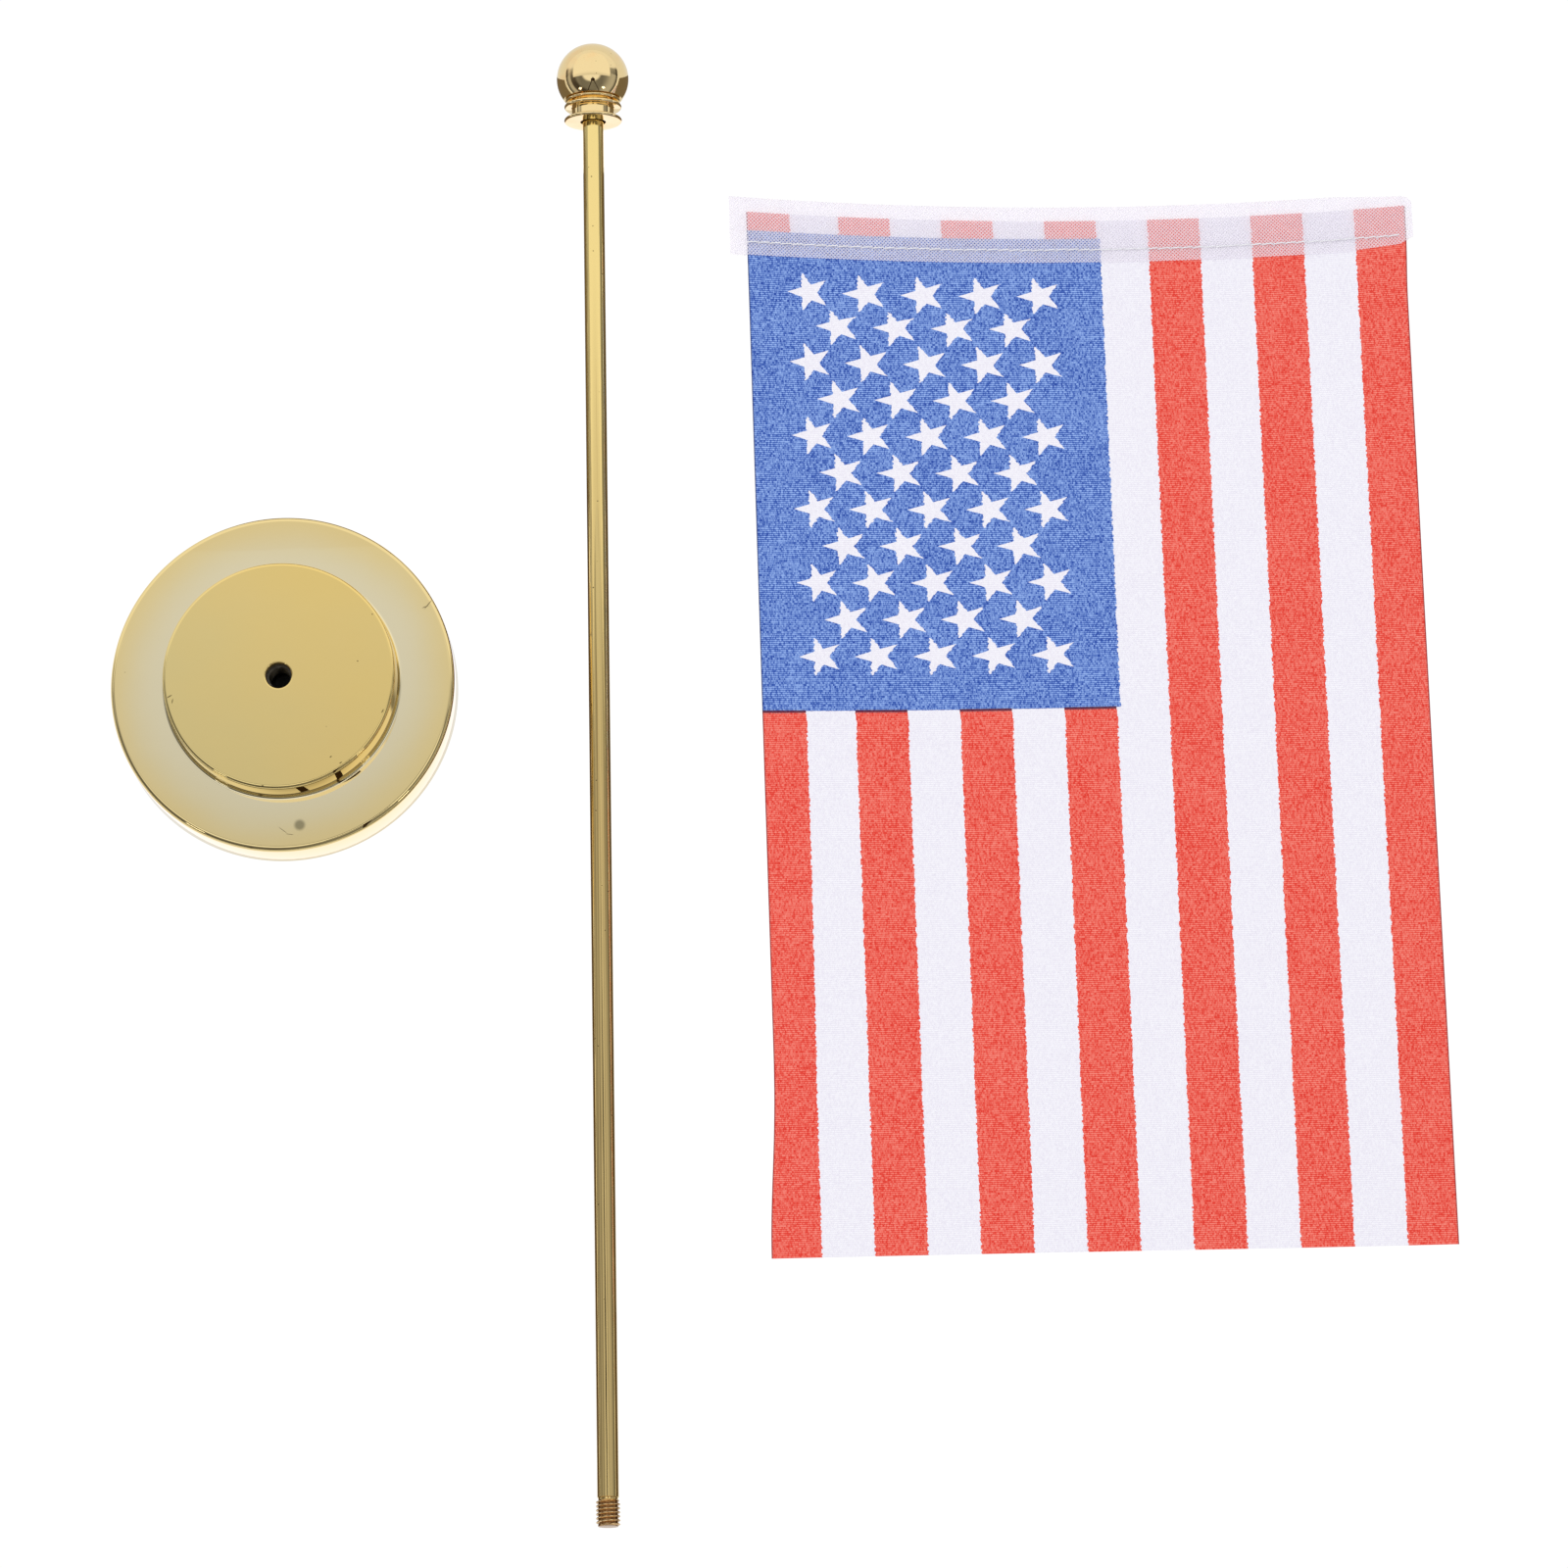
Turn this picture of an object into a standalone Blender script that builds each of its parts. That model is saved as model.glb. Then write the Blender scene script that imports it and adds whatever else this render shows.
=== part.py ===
"""Desk flag stand, laid out as an unassembled kit: a weighted two-tier base, a pole with a ball finial, and a
small printed flag with a folded tape sleeve along its hoist edge.

Frame: metres. The origin is the centre of the base's underside, +Z is up along the pole socket, and +Y runs
along the lying pole towards its finial. The flag lies on the +X side of the pole.
"""

import math

import bmesh
import bpy

MM = 0.001

# ---- Driving dimensions ----------------------------------------------------------------------------------
SEAT_GAP = 0.3 * MM  # between pieces that seat on or in each other
LAYER_GAP = 0.1 * MM  # between layers of cloth, tape and thread

# Base
BASE_DIAMETER = 70.0 * MM
LOWER_TIER_TOP = 9.6 * MM
UPPER_DIAMETER = 47.2 * MM
BASE_HEIGHT = 15.8 * MM
TIER_EDGE_RADIUS = 0.7 * MM
TIER_COVE_RADIUS = 0.65 * MM
TIER_DRAFT = 0.15 * MM  # how far the upper tier's wall leans out by its foot
SHELL_WALL = 1.6 * MM
SHELL_RIM_LIFT = 0.5 * MM  # the shell's rim stays clear of the table, so that the pad carries the base
SOCKET_LIP_RADIUS = 0.35 * MM
PAD_THICKNESS = 1.2 * MM
COVER_THICKNESS = 1.2 * MM
NUT_ACROSS_FLATS = 8.0 * MM
NUT_HEIGHT = 4.7 * MM
CORE_HUB_DIAMETER = 13.0 * MM
CORE_BORE_CLEARANCE = 0.475 * MM  # radial, round the pole under the nut
CORE_BORE_FLOOR = 1.2 * MM  # plastic left under the blind bore

# Screw thread shared by the pole's two ends and the base's nut: M5 x 0.8
THREAD_PITCH = 0.8 * MM
THREAD_DIAMETER = 4.85 * MM
THREAD_DEPTH = 0.45 * MM
THREAD_CLEARANCE = 0.13 * MM  # radial, between an outer and an inner thread
THREAD_CHAMFER = 0.4 * MM

# Pole
ROD_DIAMETER = 4.3 * MM
ROD_LENGTH = 298.6 * MM
FOOT_THREAD_LENGTH = 5.4 * MM
HEAD_THREAD_LENGTH = 5.9 * MM
HOLE_CLEARANCE = 0.175 * MM  # radial, where the pole passes through the shell and into the finial
POLE_X = 64.1 * MM
POLE_TIP_Y = -172.5 * MM

# Finial: a ball on a ringed collar
BALL_DIAMETER = 14.8 * MM
FLANGE_DIAMETER = 11.9 * MM
FLANGE_THICKNESS = 0.75 * MM
FLANGE_TO_BALL_CENTRE = 9.35 * MM
MIDDLE_RING_DIAMETER = 11.8 * MM
MIDDLE_RING_OFFSET = 3.3 * MM  # from the flange's face to the ring's middle
UPPER_RING_DIAMETER = 11.3 * MM
UPPER_RING_OFFSET = 4.6 * MM
RING_THICKNESS = 0.75 * MM
NECK_DIAMETER = 8.8 * MM
ROD_IN_FINIAL = 7.9 * MM  # how deep the pole's head reaches into the finial
INSERT_LENGTH = 6.2 * MM
INSERT_SETBACK = 1.4 * MM  # from the flange's face
INSERT_WALL = 0.545 * MM

# Flag
FABRIC_WIDTH = 136.0 * MM
FABRIC_LENGTH = 214.8 * MM
FABRIC_THICKNESS = 0.3 * MM
TAPE_END_OVERHANG = 2.15 * MM  # tape past the fabric at each end
TAPE_FOLDED_WIDTH = 12.0 * MM
TAPE_THICKNESS = 0.2 * MM
TAPE_PAST_FABRIC = 3.0 * MM  # how far the tape's fold stands past the fabric's hidden edge
STITCH_FROM_TAPE_EDGE = 2.7 * MM
STITCH_DIAMETER = 0.2 * MM
FABRIC_RAMP = 14.0 * MM  # over which the cloth comes down from the sleeve to the table
FLY_EDGE_CENTRE = (165.4 * MM, -119.1 * MM)
FLAG_LEAN = -3.7 / 211.8  # sideways run of the flag for each unit of its length
HOIST_BOW = 3.0 * MM  # how far the sleeve's ends run ahead of its middle
HOIST_SLOPE = 0.0253  # fall of the sleeve towards +X for each unit across

TURNED_STEPS = 64
SMALL_TURNED_STEPS = 40
THREAD_STEPS = 24
THREAD_ROWS_PER_PITCH = 4
MERGE_DISTANCE = 0.00001
SHARP_ANGLE = math.radians(35)

# ---- Values that follow from them ------------------------------------------------------------------------
BASE_RADIUS = BASE_DIAMETER / 2
UPPER_RADIUS = UPPER_DIAMETER / 2
INNER_RADIUS = BASE_RADIUS - SHELL_WALL
INNER_UPPER_RADIUS = UPPER_RADIUS - SHELL_WALL
LOWER_CEILING = LOWER_TIER_TOP - SHELL_WALL
UPPER_CEILING = BASE_HEIGHT - SHELL_WALL
FILLING_RADIUS = INNER_RADIUS - SEAT_GAP
COVER_BOTTOM = PAD_THICKNESS + SEAT_GAP
COVER_TOP = COVER_BOTTOM + COVER_THICKNESS
FILLING_BOTTOM = COVER_TOP + SEAT_GAP
CORE_TOP = UPPER_CEILING - SEAT_GAP
NUT_BOTTOM = CORE_TOP - NUT_HEIGHT
POCKET_FLOOR = NUT_BOTTOM - SEAT_GAP
THREAD_RADIUS = THREAD_DIAMETER / 2
POLE_RADIUS = max(ROD_DIAMETER, THREAD_DIAMETER) / 2
SOCKET_HOLE_RADIUS = POLE_RADIUS + HOLE_CLEARANCE
FINIAL_MOUTH_RADIUS = POLE_RADIUS + HOLE_CLEARANCE
CORE_BORE_RADIUS = POLE_RADIUS + CORE_BORE_CLEARANCE
INSERT_BORE_RADIUS = POLE_RADIUS + THREAD_CLEARANCE
INSERT_RADIUS = INSERT_BORE_RADIUS + INSERT_WALL
BALL_RADIUS = BALL_DIAMETER / 2
FLANGE_HEIGHT_ON_POLE = ROD_LENGTH - ROD_IN_FINIAL
BALL_HEIGHT_ON_POLE = FLANGE_HEIGHT_ON_POLE + FLANGE_TO_BALL_CENTRE
POLE_SLOPE = math.asin((BALL_RADIUS - POLE_RADIUS) / BALL_HEIGHT_ON_POLE)
TAPE_LENGTH = FABRIC_WIDTH + 2 * TAPE_END_OVERHANG
SLEEVE_FOLD = FABRIC_LENGTH + TAPE_PAST_FABRIC
SLEEVE_EDGE = SLEEVE_FOLD - TAPE_FOLDED_WIDTH
LOWER_LEAF_BOTTOM = STITCH_DIAMETER + LAYER_GAP
FABRIC_IN_SLEEVE_BOTTOM = LOWER_LEAF_BOTTOM + TAPE_THICKNESS + LAYER_GAP
UPPER_LEAF_BOTTOM = FABRIC_IN_SLEEVE_BOTTOM + FABRIC_THICKNESS + LAYER_GAP
UPPER_LEAF_TOP = UPPER_LEAF_BOTTOM + TAPE_THICKNESS


# ---- Scene helpers ---------------------------------------------------------------------------------------
def clear_scene():
    for obj in list(bpy.data.objects):
        bpy.data.objects.remove(obj, do_unlink=True)


def new_collection(name):
    collection = bpy.data.collections.new(name)
    bpy.context.scene.collection.children.link(collection)
    return collection


def new_material(name, colour, roughness, metallic):
    material = bpy.data.materials.new(name)
    material.use_nodes = True
    shader = material.node_tree.nodes["Principled BSDF"]
    shader.inputs["Base Color"].default_value = (*colour, 1.0)
    shader.inputs["Roughness"].default_value = roughness
    shader.inputs["Metallic"].default_value = metallic
    return material


def new_object(name, data, collection, parent=None):
    obj = bpy.data.objects.new(name, data)
    collection.objects.link(obj)
    obj.parent = parent
    return obj


def finished(obj, colour, roughness, metallic):
    """Gives a piece its own material and smooth shading with crisp corners."""
    obj.data.materials.append(new_material(obj.name, colour, roughness, metallic))
    if obj.type == "MESH":
        obj.data.shade_smooth()
        obj.data.set_sharp_from_angle(angle=SHARP_ANGLE)
    return obj


def as_cutter(obj):
    obj.hide_render = True
    obj.display_type = "WIRE"
    return obj


def cut(obj, cutter):
    modifier = obj.modifiers.new(f"cut_{cutter.name}", "BOOLEAN")
    modifier.operation = "DIFFERENCE"
    modifier.object = cutter


# ---- Turned shapes ---------------------------------------------------------------------------------------
def arc(centre, radius, start, end, steps):
    """Points (r, z) on a circle, from start to end degrees, counted from +r towards +z."""
    angles = [math.radians(start + (end - start) * i / steps) for i in range(steps + 1)]
    return [(centre[0] + radius * math.cos(a), centre[1] + radius * math.sin(a)) for a in angles]


def bead(radius, height, thickness, steps=4):
    """A rounded ring edge that reaches out to radius, with its middle at height, from its top to its bottom."""
    half = thickness / 2
    return arc((radius - half, height), half, 90, -90, steps)


def turned(name, profile, collection, closed, steps=TURNED_STEPS, parent=None):
    """Turns a profile of (r, z) points about Z. It runs down its outer side, and a closed one comes back up."""
    count = len(profile)
    edges = [(i, i + 1) for i in range(count - 1)]
    if closed:
        edges.append((count - 1, 0))
    mesh = bpy.data.meshes.new(name)
    mesh.from_pydata([(r, 0.0, z) for r, z in profile], edges, [])
    obj = new_object(name, mesh, collection, parent)
    screw = obj.modifiers.new("turn", "SCREW")
    screw.axis = "Z"
    screw.angle = math.tau
    screw.steps = screw.render_steps = steps
    screw.use_merge_vertices = True
    screw.merge_threshold = MERGE_DISTANCE
    return obj


def baked(obj):
    """Replaces the object's mesh with what its modifiers make of it."""
    bpy.context.view_layer.update()
    graph = bpy.context.evaluated_depsgraph_get()
    mesh = bpy.data.meshes.new_from_object(obj.evaluated_get(graph))
    obj.modifiers.clear()
    obj.data = mesh
    return obj


# ---- Screw thread ----------------------------------------------------------------------------------------
def thread_wave(phase):
    """Height of the thread's flank, from 0 at the root to 1 at the crest, with narrow flats on both."""
    triangle = 1 - 2 * abs(phase % 1.0 - 0.5)
    return min(1.0, max(0.0, 1.6 * (triangle - 0.5) + 0.5))


def cut_thread(mesh, low, high, root_radius):
    """Moves the mesh's vertices between the heights low and high onto a right-hand thread about Z."""
    for vertex in mesh.vertices:
        x, y, z = vertex.co
        radius = math.hypot(x, y)
        if radius < root_radius / 2 or not low <= z <= high:
            continue
        room = min(z - low, high - z) / THREAD_CHAMFER
        depth = THREAD_DEPTH * min(1.0, room)
        phase = z / THREAD_PITCH - math.atan2(y, x) / math.tau
        new_radius = root_radius + depth * thread_wave(phase)
        vertex.co.x *= new_radius / radius
        vertex.co.y *= new_radius / radius


def thread_rows(low, high):
    """Heights from high down to low, with the thread's rows between them."""
    rows = max(2, round((high - low) / THREAD_PITCH * THREAD_ROWS_PER_PITCH))
    return [high - (high - low) * i / rows for i in range(rows + 1)]


# ---- Base ------------------------------------------------------------------------------------------------
def make_base_shell(parts):
    """The plated two-tier cap: flat tops, small round-overs, a cove between its tiers and a lipped pole hole."""
    hole = SOCKET_HOLE_RADIUS
    edge = TIER_EDGE_RADIUS
    foot = UPPER_RADIUS + TIER_DRAFT + TIER_COVE_RADIUS
    outer = [
        (hole, UPPER_CEILING),
        *arc((hole + SOCKET_LIP_RADIUS, BASE_HEIGHT - SOCKET_LIP_RADIUS), SOCKET_LIP_RADIUS, 180, 90, 3),
        *arc((UPPER_RADIUS - edge, BASE_HEIGHT - edge), edge, 90, 0, 4),
        *arc((foot, LOWER_TIER_TOP + TIER_COVE_RADIUS), TIER_COVE_RADIUS, 180, 270, 4),
        *arc((BASE_RADIUS - edge, LOWER_TIER_TOP - edge), edge, 90, 0, 4),
        (BASE_RADIUS, SHELL_RIM_LIFT),
    ]
    inner = [
        (INNER_RADIUS, SHELL_RIM_LIFT),
        (INNER_RADIUS, LOWER_CEILING),
        (INNER_UPPER_RADIUS, LOWER_CEILING),
        (INNER_UPPER_RADIUS, UPPER_CEILING),
    ]
    shell = baked(turned("base_shell", outer + inner, parts, closed=True))
    return finished(shell, (0.72, 0.56, 0.22), 0.12, 1.0)


def make_foot_pad(parts):
    bevel = 0.2 * MM
    profile = [
        (0.0, PAD_THICKNESS),
        (FILLING_RADIUS, PAD_THICKNESS),
        (FILLING_RADIUS, bevel),
        (FILLING_RADIUS - bevel, 0.0),
        (0.0, 0.0),
    ]
    pad = baked(turned("foot_pad", profile, parts, closed=False))
    return finished(pad, (0.02, 0.02, 0.02), 0.95, 0.0)


def make_base_cover(parts):
    """The disc that closes the shell's underside and keeps the weight in."""
    bevel = 0.3 * MM
    profile = [
        (0.0, COVER_TOP),
        (FILLING_RADIUS - bevel, COVER_TOP),
        (FILLING_RADIUS, COVER_TOP - bevel),
        (FILLING_RADIUS, COVER_BOTTOM),
        (0.0, COVER_BOTTOM),
    ]
    cover = baked(turned("base_cover", profile, parts, closed=False))
    return finished(cover, (0.03, 0.03, 0.03), 0.5, 0.0)


def make_ballast_ring(parts):
    top = LOWER_CEILING - SEAT_GAP
    hole = CORE_HUB_DIAMETER / 2 + SEAT_GAP
    bevel = 0.5 * MM
    profile = [
        (hole, top),
        (FILLING_RADIUS - bevel, top),
        (FILLING_RADIUS, top - bevel),
        (FILLING_RADIUS, FILLING_BOTTOM + bevel),
        (FILLING_RADIUS - bevel, FILLING_BOTTOM),
        (hole, FILLING_BOTTOM),
    ]
    ring = baked(turned("ballast_ring", profile, parts, closed=True))
    return finished(ring, (0.30, 0.29, 0.28), 0.6, 1.0)


def hexagon(name, across_flats, bottom, top, collection):
    mesh = bpy.data.meshes.new(name)
    shape = bmesh.new()
    radius = across_flats / 2 / math.cos(math.pi / 6)
    bmesh.ops.create_cone(
        shape, cap_ends=True, segments=6, radius1=radius, radius2=radius, depth=top - bottom
    )
    bmesh.ops.translate(shape, vec=(0.0, 0.0, (top + bottom) / 2), verts=shape.verts)
    shape.to_mesh(mesh)
    shape.free()
    return new_object(name, mesh, collection)


def make_socket_core(parts, cutters):
    """The plastic filling of the upper tier: it holds the nut in a hexagonal pocket over a blind bore."""
    bore = CORE_BORE_RADIUS
    bore_floor = FILLING_BOTTOM + CORE_BORE_FLOOR
    wide = INNER_UPPER_RADIUS - SEAT_GAP
    hub = CORE_HUB_DIAMETER / 2
    bevel = 0.5 * MM
    profile = [
        (0.0, bore_floor),
        (bore, bore_floor),
        (bore, CORE_TOP),
        (wide - bevel, CORE_TOP),
        (wide, CORE_TOP - bevel),
        (wide, LOWER_CEILING),
        (hub, LOWER_CEILING),
        (hub, FILLING_BOTTOM),
        (0.0, FILLING_BOTTOM),
    ]
    core = baked(turned("socket_core", profile, parts, closed=False))
    past_top = CORE_TOP + SEAT_GAP
    pocket = hexagon("nut_pocket", NUT_ACROSS_FLATS + 2 * SEAT_GAP, POCKET_FLOOR, past_top, cutters)
    cut(core, as_cutter(pocket))
    return finished(core, (0.02, 0.02, 0.02), 0.5, 0.0)


def make_socket_nut(parts, cutters):
    """The hexagon nut that the pole screws into."""
    low = NUT_BOTTOM - THREAD_PITCH
    high = CORE_TOP + THREAD_PITCH
    root = THREAD_RADIUS - THREAD_DEPTH + THREAD_CLEARANCE
    profile = [(0.0, high), *[(root, z) for z in thread_rows(low, high)], (0.0, low)]
    tap = baked(turned("nut_tap", profile, cutters, closed=False, steps=THREAD_STEPS))
    cut_thread(tap.data, low, high, root)
    nut = hexagon("socket_nut", NUT_ACROSS_FLATS, NUT_BOTTOM, CORE_TOP, parts)
    cut(nut, as_cutter(tap))
    return finished(nut, (0.05, 0.05, 0.05), 0.45, 1.0)


# ---- Pole and finial, along the pole frame's +Z, from the foot thread's tip --------------------------------
def make_pole_frame(parts):
    """Lies the pole down: its ball and the widest of its foot both touch the table."""
    frame = new_object("pole_frame", None, parts)
    frame.location = (POLE_X, POLE_TIP_Y, POLE_RADIUS)
    frame.rotation_euler = (POLE_SLOPE - math.pi / 2, 0.0, 0.0)
    return frame


def make_pole_rod(parts, frame):
    """A round rod with a rolled thread on each end."""
    radius = ROD_DIAMETER / 2
    root = THREAD_RADIUS - THREAD_DEPTH
    head_low = ROD_LENGTH - HEAD_THREAD_LENGTH
    profile = [
        (0.0, ROD_LENGTH),
        *[(root, z) for z in thread_rows(head_low, ROD_LENGTH)],
        (radius, head_low - THREAD_CHAMFER),
        (radius, FOOT_THREAD_LENGTH + THREAD_CHAMFER),
        *[(root, z) for z in thread_rows(0.0, FOOT_THREAD_LENGTH)],
        (0.0, 0.0),
    ]
    rod = baked(turned("pole_rod", profile, parts, closed=False, steps=THREAD_STEPS, parent=frame))
    cut_thread(rod.data, 0.0, FOOT_THREAD_LENGTH, root)
    cut_thread(rod.data, head_low, ROD_LENGTH, root)
    return finished(rod, (0.60, 0.45, 0.17), 0.22, 1.0)


def make_finial_ball(parts, frame):
    """The ball and its ringed collar, one moulding, with a mouth for the pole and a pocket for the insert."""
    face = FLANGE_HEIGHT_ON_POLE
    neck = NECK_DIAMETER / 2
    mouth = FINIAL_MOUTH_RADIUS
    pocket = INSERT_RADIUS + SEAT_GAP
    pocket_low = face + INSERT_SETBACK - SEAT_GAP
    pocket_high = face + INSERT_SETBACK + INSERT_LENGTH + SEAT_GAP
    upper_ring = face + UPPER_RING_OFFSET
    ball_foot = upper_ring + RING_THICKNESS / 2
    down_angle = math.degrees(math.asin((BALL_HEIGHT_ON_POLE - ball_foot) / BALL_RADIUS))
    flange_round = FLANGE_THICKNESS / 2
    outer = [
        *arc((0.0, BALL_HEIGHT_ON_POLE), BALL_RADIUS, 90, -down_angle, 18),
        *bead(UPPER_RING_DIAMETER / 2, upper_ring, RING_THICKNESS),
        (neck, upper_ring - RING_THICKNESS / 2),
        (neck, face + MIDDLE_RING_OFFSET + RING_THICKNESS / 2),
        *bead(MIDDLE_RING_DIAMETER / 2, face + MIDDLE_RING_OFFSET, RING_THICKNESS),
        (neck, face + MIDDLE_RING_OFFSET - RING_THICKNESS / 2),
        (neck, face + FLANGE_THICKNESS),
        *arc((FLANGE_DIAMETER / 2 - flange_round, face + flange_round), flange_round, 90, -90, 4),
    ]
    inner = [
        (mouth, face),
        (mouth, pocket_low),
        (pocket, pocket_low),
        (pocket, pocket_high),
        (mouth, pocket_high),
        (mouth, face + ROD_IN_FINIAL + 2 * SEAT_GAP),
        (0.0, face + ROD_IN_FINIAL + 2 * SEAT_GAP),
    ]
    profile = outer + inner
    ball = baked(turned("finial_ball", profile, parts, closed=False, steps=SMALL_TURNED_STEPS, parent=frame))
    return finished(ball, (0.75, 0.60, 0.28), 0.1, 1.0)


def make_finial_insert(parts, frame):
    """The metal bush moulded into the finial. Its bore clears the pole and its thread crests."""
    low = FLANGE_HEIGHT_ON_POLE + INSERT_SETBACK
    high = low + INSERT_LENGTH
    outer = INSERT_RADIUS
    bore = INSERT_BORE_RADIUS
    groove = 0.2 * MM
    middle = (low + high) / 2
    profile = [
        (bore, high),
        (outer, high),
        (outer, middle + groove),
        (outer - groove, middle),
        (outer, middle - groove),
        (outer, low),
        (bore, low),
    ]
    insert = baked(
        turned("finial_insert", profile, parts, closed=True, steps=SMALL_TURNED_STEPS, parent=frame)
    )
    return finished(insert, (0.60, 0.45, 0.20), 0.4, 1.0)


# ---- Flag ------------------------------------------------------------------------------------------------
def on_flag(across, along, height):
    """Where a point of the flag lies: across from its middle, along from its fly edge, height over the table."""
    share = along / SLEEVE_FOLD
    bow = HOIST_BOW * (2 * across / TAPE_LENGTH) ** 2
    x = FLY_EDGE_CENTRE[0] + FLAG_LEAN * along + across
    y = FLY_EDGE_CENTRE[1] + along + share**2 * (bow - HOIST_SLOPE * across)
    return (x, y, height)


def across_steps(width, count):
    return [width * (i / count - 0.5) for i in range(count + 1)]


def cloth(name, acrosses, section, thickness, collection):
    """A sheet with a constant section of (along, height) points at mid-thickness, closed by a Solidify."""
    shape = bmesh.new()
    grid = [[shape.verts.new(on_flag(a, along, height)) for a in acrosses] for along, height in section]
    for near, far in zip(grid, grid[1:]):
        for i in range(len(acrosses) - 1):
            shape.faces.new((near[i], near[i + 1], far[i + 1], far[i]))
    mesh = bpy.data.meshes.new(name)
    shape.to_mesh(mesh)
    shape.free()
    obj = new_object(name, mesh, collection)
    solidify = obj.modifiers.new("thickness", "SOLIDIFY")
    solidify.thickness = thickness
    solidify.offset = 0.0
    return obj


def make_flag_panel(parts):
    """The printed cloth: flat on the table, and raised by the sleeve's lower leaf at the hoist."""
    flat = FABRIC_THICKNESS / 2
    raised = FABRIC_IN_SLEEVE_BOTTOM + flat
    steps = 6
    section = [(0.0, flat), (SLEEVE_EDGE - FABRIC_RAMP, flat)]
    for i in range(1, steps + 1):
        ease = (1 - math.cos(math.pi * i / steps)) / 2
        section.append((SLEEVE_EDGE - FABRIC_RAMP * (1 - i / steps), flat + (raised - flat) * ease))
    section.append((FABRIC_LENGTH, raised))
    panel = cloth("flag_panel", across_steps(FABRIC_WIDTH, 10), section, FABRIC_THICKNESS, parts)
    return finished(panel, (0.75, 0.10, 0.06), 0.85, 0.0)


def make_pole_sleeve(parts):
    """The hoist tape, folded lengthwise round the fabric's edge. The pole slides in past the fabric, at the fold."""
    low = LOWER_LEAF_BOTTOM + TAPE_THICKNESS / 2
    high = UPPER_LEAF_TOP - TAPE_THICKNESS / 2
    bend = (high - low) / 2
    fold = arc((SLEEVE_FOLD - bend, (low + high) / 2), bend, -90, 90, 6)
    section = [(SLEEVE_EDGE, low), *fold, (SLEEVE_EDGE, high)]
    sleeve = cloth("pole_sleeve", across_steps(TAPE_LENGTH, 10), section, TAPE_THICKNESS, parts)
    return finished(sleeve, (0.80, 0.78, 0.80), 0.6, 0.0)


def make_stitch(name, height, parts):
    """One of the seam's two threads, as a plain run along the sleeve."""
    curve = bpy.data.curves.new(name, "CURVE")
    curve.dimensions = "3D"
    curve.bevel_depth = STITCH_DIAMETER / 2
    curve.bevel_resolution = 1
    curve.use_fill_caps = True
    points = across_steps(FABRIC_WIDTH, 12)
    spline = curve.splines.new("POLY")
    spline.points.add(len(points) - 1)
    for point, across in zip(spline.points, points):
        point.co = (*on_flag(across, SLEEVE_EDGE + STITCH_FROM_TAPE_EDGE, height), 1.0)
    return finished(new_object(name, curve, parts), (0.85, 0.85, 0.85), 0.7, 0.0)


# ---- The whole kit ---------------------------------------------------------------------------------------
def main():
    clear_scene()
    parts = new_collection("desk_flag_stand")
    cutters = new_collection("cutters")

    make_base_shell(parts)
    make_foot_pad(parts)
    make_base_cover(parts)
    make_ballast_ring(parts)
    make_socket_core(parts, cutters)
    make_socket_nut(parts, cutters)

    pole_frame = make_pole_frame(parts)
    make_pole_rod(parts, pole_frame)
    make_finial_ball(parts, pole_frame)
    make_finial_insert(parts, pole_frame)

    make_flag_panel(parts)
    make_pole_sleeve(parts)
    make_stitch("needle_thread", UPPER_LEAF_TOP + LAYER_GAP + STITCH_DIAMETER / 2, parts)
    make_stitch("bobbin_thread", STITCH_DIAMETER / 2, parts)


main()
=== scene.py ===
"""The looks of the desk flag stand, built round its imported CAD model: a plated two-tier base, a pole with a
ball finial, and a small printed flag with a sheer tape sleeve, laid out as a kit on a white table.

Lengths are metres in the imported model's frame. The flag's materials read their place in millimetres.
"""

import math

import bmesh
import bpy
from mathutils import Matrix, Vector, noise


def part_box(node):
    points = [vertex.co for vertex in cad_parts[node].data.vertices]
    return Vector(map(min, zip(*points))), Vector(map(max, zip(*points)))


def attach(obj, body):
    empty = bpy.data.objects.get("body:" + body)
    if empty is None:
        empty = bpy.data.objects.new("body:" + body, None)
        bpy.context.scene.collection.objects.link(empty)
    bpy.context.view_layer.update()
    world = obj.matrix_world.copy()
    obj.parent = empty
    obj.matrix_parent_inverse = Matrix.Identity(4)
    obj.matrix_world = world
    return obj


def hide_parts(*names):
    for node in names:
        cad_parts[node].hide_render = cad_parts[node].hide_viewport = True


MM = 0.001

# ---- Sizes shared with the CAD model -------------------------------------
LOWER_TIER_TOP = 9.6 * MM
UPPER_DIAMETER = 47.2 * MM
TIER_EDGE_RADIUS = 0.7 * MM
LOWER_RIM_RADIUS = 1.0 * MM
TIER_COVE_RADIUS = 0.65 * MM
TIER_DRAFT = 0.15 * MM
SHELL_WALL = 1.6 * MM
SOCKET_HOLE_DIAMETER = 5.2 * MM
SOCKET_LIP_RADIUS = 0.35 * MM

THREAD_PITCH = 0.8 * MM
THREAD_DIAMETER = 4.85 * MM
THREAD_DEPTH = 0.45 * MM
THREAD_CHAMFER = 0.4 * MM

ROD_DIAMETER = 4.3 * MM
ROD_LENGTH = 298.6 * MM
FOOT_THREAD_LENGTH = 5.4 * MM
HEAD_THREAD_LENGTH = 5.9 * MM
POLE_X = 64.1 * MM
POLE_TIP_Y = -172.5 * MM

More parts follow.
